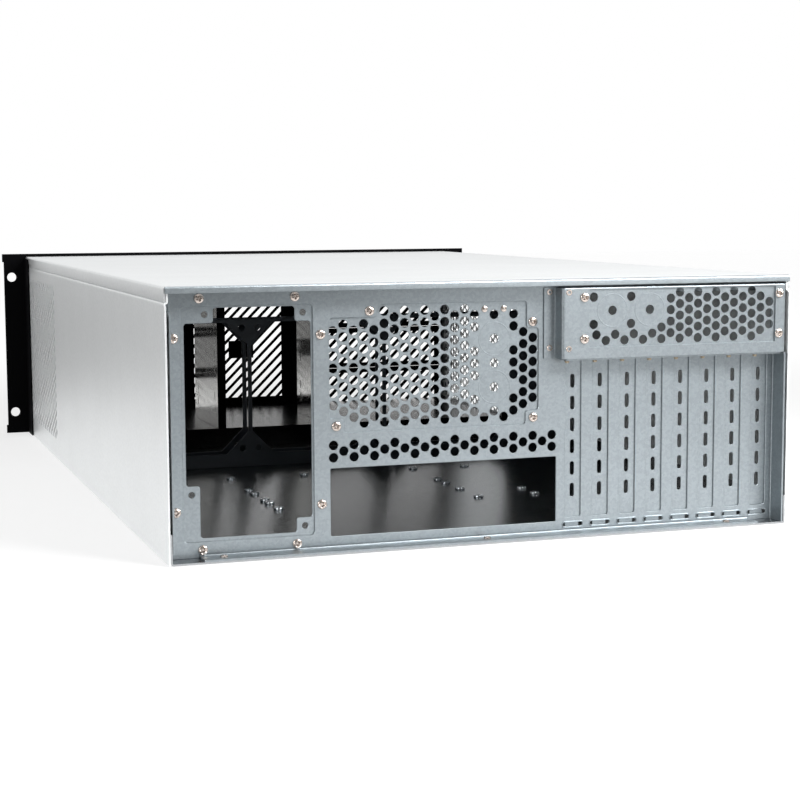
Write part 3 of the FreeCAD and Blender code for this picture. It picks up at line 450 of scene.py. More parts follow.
class CaseColours(bpy.types.PropertyGroup):
    """Colours of the case's finishes."""
    # Steel, cover and wall are one zinc coating; their different brightness is painted light on the cover and
    # walls and painted shade on the rear sheet
    steel: shade("Sheet steel", "Zinc-coated panels, plates and slot covers", 0.285, 0.318, 0.338)
    cage: shade("Cage steel", "Smooth steel of the drive cage", 0.62, 0.62, 0.60)
    cover: shade("Cover steel", "Zinc-coated top cover", 0.68, 0.695, 0.70)
    wall: shade("Wall steel", "Zinc-coated side walls", 0.84, 0.86, 0.865)
    floor: shade("Floor steel", "Smooth steel of the base pan", 0.36, 0.37, 0.38)
    # Black also colours the cage's rear flanges, as painted shade
    black: shade("Black paint", "Front panel, bay covers and tray", 0.003, 0.003, 0.0035)
    slate: shade("Slate paint", "Fan bracket", 0.030, 0.038, 0.048)
    nickel: shade("Nickel", "Panel screws", 0.50, 0.44, 0.40)
    nut: shade("Nut steel", "Clinch nuts in the floor", 0.50, 0.53, 0.56)
    # Brass darkened as painted shade, for the slot screws in the shade under the guard
    brass: shade("Brass", "Slot screws", 0.42, 0.35, 0.26)
    button: shade("Buttons", "Power and reset buttons", 0.03, 0.03, 0.032)
    light: shade("Status lights", "Plastic of the two status lights", 0.75, 0.77, 0.74)


def length(name, description, value):
    """A size, given in millimetres."""
    return FloatProperty(name=name, description=description, unit="LENGTH", min=0.0, default=value * MM)


class CaseSizes(bpy.types.PropertyGroup):
    """Sizes of the case's perforation, bends and fasteners."""
    hole: length("Vent hole", "Radius of a round hole in the vent and guard plates", 3.1)
    hole_column: length("Hole column", "Distance across from one column of holes to the next", 6.975)
    hole_row: length("Hole row", "Distance up from one hole to the next in a column", 8.05)
    guard_column: length("Guard column", "Distance across from one column of guard holes to the next", 6.9)
    guard_row: length("Guard row", "Distance up from one guard hole to the next in a column", 7.82)
    mesh_hole: length("Side hole", "Radius of a hole in the side walls", 2.95)
    mesh_column: length("Side column", "Distance inward from one column of side holes to the next", 7.05)
    mesh_row: length("Side row", "Distance up from one side hole to the next", 8.2)
    head: length("Screw head", "Radius of a pan head", 3.15)
    louvre_pitch: length("Louvre pitch", "Distance up from one slanted slot to the next", 10.1)
    louvre_slot: length("Louvre slot", "Width of a slanted slot", 4.2)
    round_sides: IntProperty(name="Round sides", description="Sides of a small round hole", default=20, min=8)


def size(name):
    """The user's value of a size, in millimetres."""
    return getattr(bpy.context.scene.case_sizes, name) / MM


# Patterns of holes
def staggered(left, right, low, high, column, row, first_low):
    """Centres of a staggered pattern: equal columns across, equal steps up, and each second column lowered
    by half a step."""
    columns = np.arange(int((right - left) / column + 1e-6) + 1)
    rows = np.arange(-2, int((high - low) / row) + 3)
    across = left + columns[:, None] * column + 0 * rows[None]
    up = first_low + rows[None] * row - (columns[:, None] % 2) * row / 2
    centres = np.stack([across, up], 2).reshape(-1, 2)
    return centres[(centres[:, 1] > low) & (centres[:, 1] < high)]


def within(centres, outline, margin):
    """The centres that lie inside the outline and at least margin from its sides: a ray to the left
    crosses the sides an odd number of times, and the nearest point of every side is far enough."""
    start, end = outline[None], np.roll(outline, -1, 0)[None]
    here = centres[:, None]
    run = end - start
    along = np.clip(((here - start) * run).sum(2) / (run ** 2).sum(2), 0, 1)
    near = np.linalg.norm(start + run * along[..., None] - here, axis=2).min(1)
    spans = (start[..., 1] > here[..., 1]) != (end[..., 1] > here[..., 1])
    with np.errstate(divide="ignore", invalid="ignore"):
        cross = start[..., 0] + (here[..., 1] - start[..., 1]) / run[..., 1] * run[..., 0]
    inside = (spans & (here[..., 0] < cross)).sum(1) % 2 == 1
    return centres[inside & (near > margin)]


def away_from(centres, knockouts, clear):
    """The centres that lie farther from every knock-out than its clear distance."""
    gaps = np.linalg.norm(centres[:, None] - np.array(knockouts)[None], axis=2)
    return centres[(gaps > clear).all(1)]


def round_holes(centres, radius=None, sides=None):
    """The outline of a round hole at each centre, with the user's radius and sides unless they are given."""
    radius, sides = radius or size("hole"), sides or bpy.context.scene.case_sizes.round_sides
    return [ring(across, up, radius, sides) for across, up in centres]


# Seats and outlines that the rear panel shares with its plates
PANEL = Seat("rear_panel")
SUPPLY_PLATE = Seat("psu_plate")
VENT_PLATE = Seat("vent_plate")
GUARD = Seat("slot_guard")
SLOTS = [Seat("slot_cover_%d" % number) for number in range(1, 9)]
CASE_TOP = Seat("top_cover").high
PANEL_FACE = SUPPLY_PLATE.near - METAL
PLATE_FACE = SUPPLY_PLATE.near
LEDGE = SLOTS[0].high - THIN - METAL
LEDGE_LEFT, LEDGE_RIGHT = 270.5, 433.0
PANEL_STEP = 6.0
FOOT_LEFT, FOOT_RIGHT = 22.7, 415.7
LEFT_FOLD_TOP, RIGHT_FOLD_TOP = CASE_TOP - 16.0, GUARD.low - 0.2

SUPPLY_OPENING = box_outline(12.9, 98.5, 11.2, CASE_TOP - 13.4)
IO_OPENING = box_outline(109.5, 268.25, 9.3, 53.75)
GUARD_OPENING = box_outline(LEDGE_LEFT, 431.8, LEDGE + METAL + 0.6, CASE_TOP - 11.0)
SUPPLY_CORNER, VENT_FILLET, IO_CORNER = 2.5, 2.0, 0.8

# The row of holes over the board's opening, two holes high
ROW_LEFT, ROW_RIGHT, ROW_LOW, ROW_HIGH, ROW_FIRST = 111.7, 265.2, 60.2, 69.2, 60.7

# The stepped opening of the vent, its field of holes, two knock-outs and two small screws
VENT_LOW, VENT_HIGH = VENT_PLATE.low + 4.0, VENT_PLATE.high - 4.0
VENT_LEFT, VENT_RIGHT = VENT_PLATE.left + 1.4, VENT_PLATE.right - 4.0
VENT_STEP, VENT_DROP, VENT_NOTCH, VENT_NOTCH_DROP, VENT_CORNER = 33.3, 8.0, 8.6, 17.8, 9.2
VENT_OPENING = notched(VENT_LEFT, VENT_RIGHT, VENT_LOW, VENT_HIGH, (VENT_CORNER, VENT_CORNER),
                       (VENT_CORNER, VENT_CORNER), (VENT_NOTCH, VENT_NOTCH_DROP), (VENT_STEP, VENT_DROP))
VENT_FIRST, VENT_FIRST_LOW = VENT_LEFT + 2.8, VENT_LOW + 9.5
KNOCKOUT_ACROSS, KNOCKOUT_LOW, KNOCKOUT_ROWS = 223.7, VENT_LOW + 25.6, 4
SMALL_SCREWS = [(216.7, VENT_HIGH - 4.7), (230.4, VENT_HIGH - 4.7)]
HOLE_MARGIN, CLEAR_OF_MIDDLE, CLEAR_OF_SCREW, CLEAR_OF_KNOCKOUT = 2.0, 5.0, 4.0, 14.2


def middle(seat):
    """Where a seat's middle lies across."""
    return (seat.left + seat.right) / 2


SLOT_HALF, SLOT_LOW, SLOT_UNDER_LEDGE, SLOT_CORNERS = 6.0, 11.8, 0.4, (1.6, 1.6, 0.4, 0.4)
LANCE_HALF, LANCE_LOW, LANCE_HIGH, LANCE_END = 7.2, 5.3, 8.1, 1.39


def slot_opening(seat):
    """The panel's opening in front of a slot cover, with its low corners rounded."""
    centre = middle(seat)
    opening = box_outline(centre - SLOT_HALF, centre + SLOT_HALF, SLOT_LOW, LEDGE - SLOT_UNDER_LEDGE)
    return filleted(opening, SLOT_CORNERS, 4)


def lance_opening(seat):
    """The panel's opening in front of a slot cover's foot: a level slot with round ends."""
    centre = middle(seat)
    opening = box_outline(centre - LANCE_HALF, centre + LANCE_HALF, LANCE_LOW, LANCE_HIGH)
    return filleted(opening, LANCE_END, 6)


def rear_panel():
    """The rear panel's sheet with its openings, its folds along the walls, its foot, its roof flange and the
    ledge under the slot screws."""
    left, right = PANEL.left + REACH, PANEL.right - REACH
    low, notch, step, top = PANEL.low, PANEL.low + REACH, PANEL.low + PANEL_STEP, PANEL.high - REACH
    outline = np.array([
        (PANEL.left, low), (FOOT_LEFT, low), (FOOT_LEFT, notch), (FOOT_RIGHT, notch), (FOOT_RIGHT, low),
        (right, low), (right, RIGHT_FOLD_TOP), (PANEL.right, RIGHT_FOLD_TOP), (PANEL.right, top),
        (left, top), (left, step), (PANEL.left, step)])
    row = staggered(ROW_LEFT, ROW_RIGHT, ROW_LOW, ROW_HIGH, size("hole_column"), size("hole_row"), ROW_FIRST)
    openings = [filleted(SUPPLY_OPENING, SUPPLY_CORNER), filleted(VENT_OPENING, VENT_FILLET),
                filleted(IO_OPENING, IO_CORNER, 3), GUARD_OPENING]
    openings += [slot_opening(seat) for seat in SLOTS] + [lance_opening(seat) for seat in SLOTS]
    near, far = PANEL.near, PANEL_FACE + METAL
    left_fold = folded([(left, far), (PANEL.left, far), (PANEL.left, near)])
    right_fold = folded([(PANEL.right, near), (PANEL.right, far), (right, far)])
    foot = folded([(near, low), (far, low), (far, notch)])
    roof = folded([(PANEL.far, PANEL.high), (PANEL_FACE, PANEL.high), (PANEL_FACE, top)])
    ledge = box_outline(GUARD.near + METAL, PANEL_FACE, LEDGE, LEDGE + METAL)
    parts = [plate(outline, openings + round_holes(row), PANEL_FACE),
             bar(left_fold, step, LEFT_FOLD_TOP, FLAT), bar(right_fold, low, RIGHT_FOLD_TOP, FLAT),
             bar(foot, FOOT_LEFT, FOOT_RIGHT, SIDE), bar(roof, left, PANEL.right, SIDE),
             bar(ledge, LEDGE_LEFT, LEDGE_RIGHT, SIDE)]
    return parts + [raised_rim(lance_opening(seat), PANEL_FACE) for seat in SLOTS]


SUPPLY_WINDOW = box_outline(15.1, 97.4, 13.4, SUPPLY_OPENING[2][1] - 1.1)
SUPPLY_HIGH = SUPPLY_WINDOW[2][1] - 4.1
SUPPLY_HOLES = [(18.4, 41.4), (92.4, 17.4), (92.4, SUPPLY_HIGH), (28.4, SUPPLY_HIGH)]
SUPPLY_TAB, SUPPLY_HOLE, TAB_CORNER = 5.5, 2.1, 1.8


def supply_plate():
    """The plate round the power supply: a window with a tab in each corner that takes the supply's screws."""
    tabs = np.abs(np.array(SUPPLY_HOLES) - SUPPLY_WINDOW) + SUPPLY_TAB
    (left, low), (right, high) = SUPPLY_WINDOW[[0, 2]]
    window = notched(left, right, low, high, *map(tuple, tabs))
    openings = [filleted(window, TAB_CORNER)] + round_holes(SUPPLY_HOLES, SUPPLY_HOLE)
    return [plate(SUPPLY_PLATE.outline(), openings, PLATE_FACE, SUPPLY_PLATE.far - PLATE_FACE)]


def vent_plate():
    """The vent plate with its staggered holes, which leave room for two knock-outs and two small screws."""
    column, row = size("hole_column"), size("hole_row")
    centres = staggered(VENT_FIRST, VENT_RIGHT, VENT_LOW, VENT_HIGH, column, row, VENT_FIRST_LOW)
    centres = within(centres, VENT_OPENING, HOLE_MARGIN)
    low, between, high = [(KNOCKOUT_ACROSS, KNOCKOUT_LOW + share * KNOCKOUT_ROWS * row)
                          for share in (0, 0.5, 1)]
    centres = away_from(centres, [low, high], CLEAR_OF_KNOCKOUT)
    centres = away_from(centres, SMALL_SCREWS, CLEAR_OF_SCREW)
    middles = [low, high, between]
    centres = np.concatenate([away_from(centres, middles, CLEAR_OF_MIDDLE), np.array(middles)])
    parts = [plate(VENT_PLATE.outline(), round_holes(centres), PLATE_FACE, VENT_PLATE.far - PLATE_FACE)]
    return parts + [knockout_ring(across, up, PLATE_FACE) for across, up in (low, high)]


# A slot cover: its long holes, and its narrow foot
COVER_HOLE_LOW, COVER_HOLE_PITCH, COVER_HOLES, COVER_HOLE_LENGTH, COVER_HOLE_RADIUS = 25.4, 14.9, 6, 9.3, 1.5
COVER_FOOT_LOW, COVER_FOOT_HIGH, COVER_FOOT_HALF = 3.0, 9.4, 5.1


def slot_cover(seat):
    """A slotted strip with a narrow foot and a tab bent rearwards over the ledge."""
    centre = middle(seat)
    slots = [long_hole(centre, low, low + COVER_HOLE_LENGTH, COVER_HOLE_RADIUS)
             for low in COVER_HOLE_LOW + COVER_HOLE_PITCH * np.arange(COVER_HOLES)]
    top = seat.high - REACH
    shoulder = (centre - COVER_FOOT_HALF - seat.left, COVER_FOOT_HIGH - COVER_FOOT_LOW)
    outline = notched(seat.left, seat.right, COVER_FOOT_LOW, top, shoulder, shoulder, None, None)
    far = PLATE_FACE + THIN
    tab = folded([(far, top), (far, seat.high), (seat.near, seat.high)], THIN)
    return [plate(outline, slots, PLATE_FACE, THIN), bar(tab, seat.left, seat.right, SIDE)]


# The guard, its window and the field of holes behind it
GUARD_FACE_LEFT = 266.6
GUARD_BRIM = METAL + 0.35
GUARD_WINDOW = box_outline(286.3, 427.6, GUARD.low + 7.4, GUARD.high - 1.8)
GUARD_LAST, GUARD_FIRST_LOW, GUARD_COLUMNS = GUARD_WINDOW[1][0] - 4.2, GUARD.low + 11.65, 19
GUARD_KNOCKOUTS = np.array([(303.95, GUARD.low + 31.75), (331.75, GUARD.low + 31.75)])
# Where the full columns begin across, and how high the ones before them reach
GUARD_FIELD = GUARD_KNOCKOUTS[1] + (13.0, -12.0)
GUARD_ASIDE, CLEAR_OF_GUARD_KNOCKOUT, CLEAR_OF_ASIDE = 9.1, 14.5, 7.0


def guard():
    """The box over the slot screws: a face with a window, a side that ends in a foot, and a roof."""
    face_left, side, brim = GUARD_FACE_LEFT + REACH, PANEL_FACE - METAL, GUARD.high - GUARD_BRIM
    outline = box_outline(face_left, GUARD.right, GUARD.low, brim)
    edge = folded([(GUARD.left, side), (GUARD_FACE_LEFT, side), (GUARD_FACE_LEFT, GUARD.near),
                   (face_left, GUARD.near)])
    roof = folded([(PANEL_FACE, GUARD.high), (GUARD.near, GUARD.high), (GUARD.near, brim)], METAL, 0.2)
    return [plate(outline, [filleted(GUARD_WINDOW, 0.6, 3)], GUARD.near, ease=0.06),
            bar(edge, GUARD.low, GUARD.high - 0.6, FLAT), bar(roof, face_left, GUARD.right, SIDE)]


def guard_plate():
    """The perforated plate behind the guard's window. Its staggered holes leave room for two knock-outs, with
    a hole in the middle of each and four beside the first. The last column is short."""
    seat = Seat("guard_plate")
    column, row = size("guard_column"), size("guard_row")
    first, low = GUARD_LAST - GUARD_COLUMNS * column, GUARD_FIRST_LOW
    centres = staggered(first, GUARD_LAST + 0.1, GUARD.low, GUARD.high, column, row, low + row / 2)
    centres = within(centres, GUARD_WINDOW, HOLE_MARGIN)
    centres = centres[(centres[:, 0] > GUARD_FIELD[0]) | (centres[:, 1] < GUARD_FIELD[1])]
    aside = [(GUARD_KNOCKOUTS[0][0] + 2 * step * column, GUARD_KNOCKOUTS[0][1] + rise * GUARD_ASIDE)
             for step in (-1, 1) for rise in (-1, 1)]
    centres = away_from(away_from(centres, GUARD_KNOCKOUTS, CLEAR_OF_GUARD_KNOCKOUT), aside, CLEAR_OF_ASIDE)
    short = np.abs(centres[:, 1] - low - 2 * row) < 1.5 * row
    centres = centres[(centres[:, 0] < GUARD_LAST - 0.1) | short]
    centres = np.concatenate([centres, GUARD_KNOCKOUTS, aside])
    outline = box_outline(seat.left, seat.right, seat.low, GUARD.high - METAL - 0.1)
    parts = [plate(outline, round_holes(centres), seat.near, seat.far - seat.near, ease=0.1)]
    return parts + [knockout_ring(across, up, seat.near) for across, up in GUARD_KNOCKOUTS]


# Walls, cover and floor
MESH_COLUMNS, MESH_BEFORE_FRONT, MESH_LOW, MESH_FIRST, MESH_UNDER_SHOULDER = 26, 13.0, 18.0, 24.0, 10.0
ROOF_FLANGE = 12.0
WALL_MARKS = [(97.0, 114.0), (106.0, 158.6), (20.0, 158.7), (313.0, 12.0), (360.0, 13.0), (420.0, 14.0),
              (480.0, 14.0), (250.0, 120.0), (320.0, 122.0), (390.0, 124.0), (460.0, 126.0)]


def side_wall(node, mirrored):
    """A side wall: a perforated face, its stepped top and its roof flange, with rivet marks."""
    seat, cover = Seat(node), Seat("top_cover")
    shoulder = cover.low - 0.2
    column, row = size("mesh_column"), size("mesh_row")
    last = DEPTH - MESH_BEFORE_FRONT
    centres = staggered(last - MESH_COLUMNS * column, last + 1.0, MESH_LOW, shoulder - MESH_UNDER_SHOULDER,
                        column, row, MESH_FIRST)
    openings = round_holes(centres, size("mesh_hole"), 12)
    outline = box_outline(seat.near, seat.far, seat.low, shoulder - REACH)
    step = [(JOG, seat.high), (JOG, shoulder), (0.0, shoulder), (0.0, shoulder - REACH)]
    roofed = folded([(ROOF_FLANGE + JOG, seat.high)] + step, METAL, 0.08)
    parts = [plate(outline, openings, 0.0, METAL, SIDE, 0.1), bar(roofed, PANEL.far + 1.0, DEPTH, REAR),
             bar(folded(step, METAL, 0.08), JOG, PANEL.far + 1.0, REAR)]
    for inward, up in WALL_MARKS:
        parts.append(turned([(0.2, -0.12), (1.5, -0.12), (2.1, SUNK)], (inward, up, 0.0), SIDE, 16))
    if mirrored:
        parts = [(places * (-1, 1, 1), [face[::-1] for face in faces]) for places, faces in parts]
    return parts


LIP, LIP_GAP, LIP_EDGE = 4.4, 0.4, 0.6


def roof_sheet(seat, near):
    """A flat sheet with side flanges over the walls' steps, from near to the far end of its seat."""
    path = [(WIDTH, seat.low), (WIDTH, seat.high), (0.0, seat.high), (0.0, seat.low)]
    return [bar(folded(path), near, seat.far, REAR)]


def cover_lip():
    """The lip that the cover turns down over the rear rim."""
    path = [(METAL + LIP_GAP, CASE_TOP), (0.0, CASE_TOP), (0.0, CASE_TOP - LIP)]
    return [bar(folded(path, METAL, 0.2), LIP_EDGE, WIDTH - LIP_EDGE, SIDE)]


# Fasteners
def pan_head(across, up, face, twist):
    """A pan head: a domed profile with a cross recess. The recess is deepest in the middle and narrows along
    each arm."""
    radius = size("head")
    height = 0.55 * radius
    arm = np.linspace(0, 1, 9)
    dome = -height * (1 - 0.35 * arm ** 2.5)
    profile = np.concatenate([np.column_stack([0.05 + arm * 0.88 * radius, dome]),
                              [(0.98 * radius, -0.45 * height), (radius, -0.1), (radius, 0.0)]])

    def recess(x, y):
        east = x * math.cos(twist) + y * math.sin(twist)
        north = y * math.cos(twist) - x * math.sin(twist)
        deep = np.zeros_like(x)
        for along, aside in ((np.abs(east), np.abs(north)), (np.abs(north), np.abs(east))):
            reach = np.clip(1 - along / (0.62 * radius), 0, 1)
            width = 0.13 * radius + 0.1 * radius * reach
            deep = np.maximum(deep, (aside < width) * np.minimum(reach * 2.2, 1.0))
        return deep * 0.85 * height

    return turned(profile, (across, up, face), REAR, 48, recess)


def screw_set(places, face):
    """A pan head at each place, each turned a little further than the one before."""
    return [pan_head(across, up, face, 0.7 * number) for number, (across, up) in enumerate(places)]


SUPPLY_SCREWS = [(across, up) for across in (SUPPLY_PLATE.left + 4.2, SUPPLY_PLATE.right - 4.2)
                 for up in (SUPPLY_PLATE.low + 28.5, SUPPLY_PLATE.high - 28.9)]
SUPPLY_SCREWS += [(across, up) for across in (24.7, 86.7)
                  for up in (SUPPLY_PLATE.low + 3.8, SUPPLY_PLATE.high - 4.2)]
VENT_SCREWS = [(VENT_LEFT + VENT_STEP - 6.1, VENT_HIGH - VENT_DROP / 2),
               (VENT_RIGHT - VENT_NOTCH / 2, VENT_HIGH - VENT_NOTCH_DROP + 4.0),
               (VENT_RIGHT - VENT_CORNER / 2 + 0.7, VENT_LOW + VENT_CORNER / 2 - 0.3),
               (VENT_LEFT + VENT_CORNER / 2 - 0.3, VENT_LOW + VENT_CORNER / 2 - 0.3)]
GUARD_SCREWS = [(across, up) for across in (282.9, 430.4) for up in (GUARD.low + 13.1, GUARD.high - 7.0)]
GUARD_NUTS = [(GUARD.left + 4.0, GUARD.low + 7.0, PANEL_FACE - METAL),
              (GUARD.left + 4.0, GUARD.high - 3.5, PANEL_FACE - METAL),
              (271.6, GUARD.low + 6.9, GUARD.near), (271.6, GUARD.high - 3.5, GUARD.near)]
FOOT_SCREWS = (36.7, 215.5, 394.7)
SLOT_SCREW_ASIDE = 8.0

# Profiles of turned fasteners: radius and depth, or radius and height where the piece stands up
NUT_FACE = [(0.1, 0.5), (0.95, 0.5), (1.05, -0.5), (1.9, -0.5), (2.1, -0.3), (2.1, 0.1)]
SMALL_HEAD = [(0.1, -0.9), (1.2, -0.85), (2.0, -0.5), (2.2, 0.0)]
SLOT_SCREW_HEAD = [(3.1, 0.0), (3.1, 0.9), (2.6, 1.6), (0.1, 1.7)]
SLOT_SCREW_TIP = [(0.2, -4.1), (1.1, -4.0), (1.6, -3.4), (1.6, -2.1)]
FOOT_HEAD = [(2.5, 0.0), (2.5, 0.7), (1.9, 1.3), (0.1, 1.5)]


def slot_screws():
    """Screws down through each slot cover's tab: a head above the ledge and a round tip below it."""
    parts = []
    for seat in SLOTS:
        centre = (middle(seat) - SLOT_SCREW_ASIDE, PANEL_FACE / 2, LEDGE + METAL + THIN)
        parts.append(turned(SLOT_SCREW_HEAD, centre, FLAT, 20))
        parts.append(turned(SLOT_SCREW_TIP, centre, FLAT, 16))
    return parts


# Floor, fan bracket and cage
PAN_FLANGE = 9.0
FAN_PITCH, FAN_FIRST, FAN_POST, FAN_GUSSET = 120.6, 148.8, 1.8, 19.0
FAN_LOW, FAN_HIGH, FAN_TOP, FAN_DEPTH = 11.3, 6.7, 3.6, 21.0
FAN_SCREW_ASIDE, FAN_SCREW_UP, FAN_SCREW = 7.0, 51.5, 2.7


def base_pan():
    """The floor pan: its floor and side flanges as one bent section, and the front flange."""
    seat = Seat("base_pan")
    path = [(seat.left, seat.high), (seat.left, 0.0), (seat.right, 0.0), (seat.right, seat.high)]
    front = folded([(seat.far - REACH, 0.0), (seat.far, 0.0), (seat.far, PAN_FLANGE)])
    return [bar(folded(path), 0.0, seat.far - REACH, REAR), bar(front, seat.left, seat.right, SIDE)]


def fan_bracket():
    """Two upright plates on a web. Each has a window for every fan, whose corners are cut straight by gussets
    with round screw holes on them."""
    seat = Seat("fan_bracket")
    low, high = seat.low + FAN_LOW, seat.high - FAN_HIGH
    posts = FAN_FIRST + FAN_PITCH * np.arange(-1, 3)
    windows = [filleted(box_outline(left, right, low, high), FAN_GUSSET, 2)
               for left, right in zip(posts + FAN_POST, posts[1:] - FAN_POST)]
    spots = [(across + side * FAN_SCREW_ASIDE, (low + high) / 2 + end * FAN_SCREW_UP)
             for across in posts for side in (-1, 1) for end in (-1, 1)]
    openings = [filleted(window, 0.8, 3) for window in windows] + round_holes(spots, FAN_SCREW, 16)
    outline = box_outline(seat.left, seat.right, seat.low, seat.high - FAN_TOP)
    far = seat.near + FAN_DEPTH - METAL
    web = box_outline(seat.near + METAL, far, seat.low, seat.low + METAL)
    return [plate(outline, openings, seat.near), plate(outline, openings, far),
            bar(web, seat.left, seat.right, SIDE)]


CAGE_SLOT_INSET, CAGE_SLOT_HALF, CAGE_SLOT_LENGTH = 13.5, 1.2, 7.0
CAGE_SLOTS = np.array([14.0, 26.0, 53.0, 65.0, 92.0, 104.0])
CAGE_FLANGE = 7.5


def drive_cage():
    """The cage's two side sheets, with small slots along their edges, under a roof."""
    seat = Seat("drive_cage")
    slots = [box_outline(inward - CAGE_SLOT_HALF, inward + CAGE_SLOT_HALF, up, up + CAGE_SLOT_LENGTH)
             for inward in (seat.near + CAGE_SLOT_INSET, seat.far - CAGE_SLOT_INSET)
             for up in seat.low + CAGE_SLOTS]
    side = box_outline(seat.near + METAL, seat.far, seat.low, seat.high - METAL)
    roof = box_outline(seat.left, seat.right, seat.near, seat.far)
    sides = [plate(side, slots, left, METAL, SIDE) for left in (seat.left, seat.right - METAL)]
    return sides + [plate(roof, [], seat.high - METAL, METAL, FLAT)]


def cage_flanges():
    """The two narrow flanges at the cage's rear edge, made black as painted shade for the dark they stand in.
    """
    seat = Seat("drive_cage")
    return [plate(box_outline(left, left + CAGE_FLANGE, seat.low, seat.high - METAL - 0.1), [], seat.near)
            for left in (seat.left, seat.right - CAGE_FLANGE)]


# The main board's nuts: columns across, rows inward, and the rows that each column has
BOARD_COLUMNS = {"first": 115.4, "extra": 177.4, "second": 272.88, "third": 319.2}
BOARD_ROWS = {"rear": 169.5, "next": 195.5, "mid": 209.5, "far": 241.5, "low": 259.5, "front": 321.0}
BOARD_PLAN = {"first": ("rear", "next", "mid", "far", "low", "front"), "extra": ("front",),
              "second": ("rear", "mid", "far", "low", "front"), "third": ("rear", "next", "front")}


def clinch_nuts():
    """Low round nuts in the floor that take the main board's screws."""
    high = Seat("board_standoffs").high - METAL
    profile = [(3.8, 0.0), (3.8, 0.6 * high), (3.3, high), (1.9, high), (1.6, 0.85 * high), (1.6, 0.1),
               (0.05, 0.1)]
    return [turned(profile, (BOARD_COLUMNS[column], BOARD_ROWS[row], METAL), FLAT, 24)
            for column, rows in BOARD_PLAN.items() for row in rows]


def below(points, limit, sign=1):
    """The part of an outline where sign times up is less than sign times the limit. Each side that crosses
    the limit gives the point where it crosses."""
    kept = []
    for here, after in zip(points, points[1:] + points[:1]):
        if sign * here[1] <= sign * limit:
            kept.append(here)
        if (here[1] - limit) * (after[1] - limit) < 0:
            share = (limit - here[1]) / (after[1] - here[1])
            kept.append((here[0] + share * (after[0] - here[0]), limit))
    return kept


def slanted_slots(left, right, low, high):
    """Parallel slots that rise across a field at 45 degrees and end at its border."""
    half, pitch, wide = size("louvre_slot") / 2 * math.sqrt(2), size("louvre_pitch"), right - left
    slots = []
    for step in range(1, int((wide + high - low) / pitch) + 1):
        start = high - step * pitch
        band = [(left, start - half), (right, start - half + wide), (right, start + half + wide),
                (left, start + half)]
        band = np.array(below(below(band, high), low, -1))
        if len(band) > 3 and np.ptp(band[:, 0]) > 2 * half:
            slots.append(band)
    return slots


BORDER, GRILLE_LEFT, GRILLE_RIGHT = 5.0, 8.5, 2.6
GRILLE_PATCH = box_outline(203.0, 229.0, 67.0, 85.0)


def bay_cover(node):
    """A bay's cover: a plate with slanted slots inside its border."""
    seat = Seat(node)
    slots = slanted_slots(seat.left + BORDER, seat.right - BORDER, seat.low + BORDER, seat.high - BORDER)
    return [plate(filleted(seat.outline(), 1.0, 3), slots, seat.near, seat.far - seat.near)]


def centre_grille():
    """The grille in the middle, with slanted slots and a small plain patch behind them."""
    seat = Seat("centre_grille")
    slots = slanted_slots(seat.left + GRILLE_LEFT, seat.right - GRILLE_RIGHT, seat.low + BORDER,
                          seat.high - BORDER)
    return [plate(seat.outline(), slots, seat.near, seat.far - seat.near),
            plate(GRILLE_PATCH, [], seat.near - THIN, THIN)]


def push_button(node):
    """A button: a stem rim behind the panel and a dished cap in front of it."""
    seat = Seat(node)
    radius, front = (seat.high - seat.low) / 2, seat.far - seat.near
    cap = radius - 2.0
    profile = [(radius, 0.0), (radius, 1.6), (cap, 1.6), (cap, front - 0.5), (cap - 0.2, front - 0.15),
               (cap - 0.6, front), (cap - 1.0, front - 0.1), (0.4 * cap, front - 0.45), (0.1, front - 0.5)]
    return [turned(profile, (middle(seat), (seat.low + seat.high) / 2, seat.near), REAR, 40)]


# Stage
# Lamps in metres and watts: place, the point that each looks at, width and power
LAMPS = {
    "top_box": ((0.0, 0.0, 1.7), (0.0, 0.0, 0.0), 1.2, 9),
    "edge_box": ((-0.3, 0.9, 0.7), (0.0, 0.35, 0.1), 0.3, 9.5),
    "key_box": ((-0.6, 0.7, 0.5), (0.0, 0.35, 0.1), 0.25, 7),
    "rear_box": ((-0.85, 1.45, 0.6), (0.0, 0.35, 0.1), 0.3, 0.8),
    "low_box": ((-0.55, 1.5, 0.25), (0.0, 0.3, 0.1), 0.4, 0.9),
    "left_box": ((1.3, 1.0, 0.6), (0.1, 0.3, 0.1), 0.6, 7.5),
}
FLOOR_REACH, FLOOR_SUNK, FLOOR_GREY, FLOOR_ROUGHNESS = 6.0, 0.0004, 0.3, 0.9
FOCAL_LENGTH, SENSOR = 78.67, 36.0
CAMERA_PLACE = (0.42765, 1.40806, 0.22295)
CAMERA_YAW, CAMERA_PITCH, CAMERA_ROLL = 0.32857, 0.11103, -0.00457


def area_lamp(name, place, towards, width, power):
    """A square soft box at a place in metres, turned towards a point, with its power in watts."""
    lamp = bpy.data.lights.new(name, "AREA")
    lamp.shape, lamp.size, lamp.energy = "SQUARE", width, power
    holder = bpy.data.objects.new(name, lamp)
    holder.location = place
    holder.rotation_euler = (Vector(towards) - Vector(place)).to_track_quat("-Z", "Y").to_euler()
    holder.visible_camera = False
    bpy.context.scene.collection.objects.link(holder)


def sees_background(tree):
    """1 for a camera, glossy or transmission ray and 0 for any other."""
    path = add_node(tree, "LightPath").outputs
    total = path["Is Camera Ray"]
    for ray in ("Is Glossy Ray", "Is Transmission Ray"):
        total = add_node(tree, "Math", {0: total, 1: path[ray]}, operation="MAXIMUM").outputs[0]
    return total


def where_glossy(tree, other, glossy):
    """One value for glossy rays and another for the rest."""
    ray = add_node(tree, "LightPath").outputs["Is Glossy Ray"]
    return add_node(tree, "Mix", {"Factor": ray, "A": other, "B": glossy}).outputs["Result"]


def carried(tree, value, start, end, near, far, smooth=False):
    """A value carried from start..end to near..far, and held outside."""
    inputs = {"Value": value, "From Min": start, "From Max": end, "To Min": near, "To Max": far}
    return add_node(tree, "MapRange", inputs,
                    interpolation_type="SMOOTHSTEP" if smooth else "LINEAR").outputs["Result"]


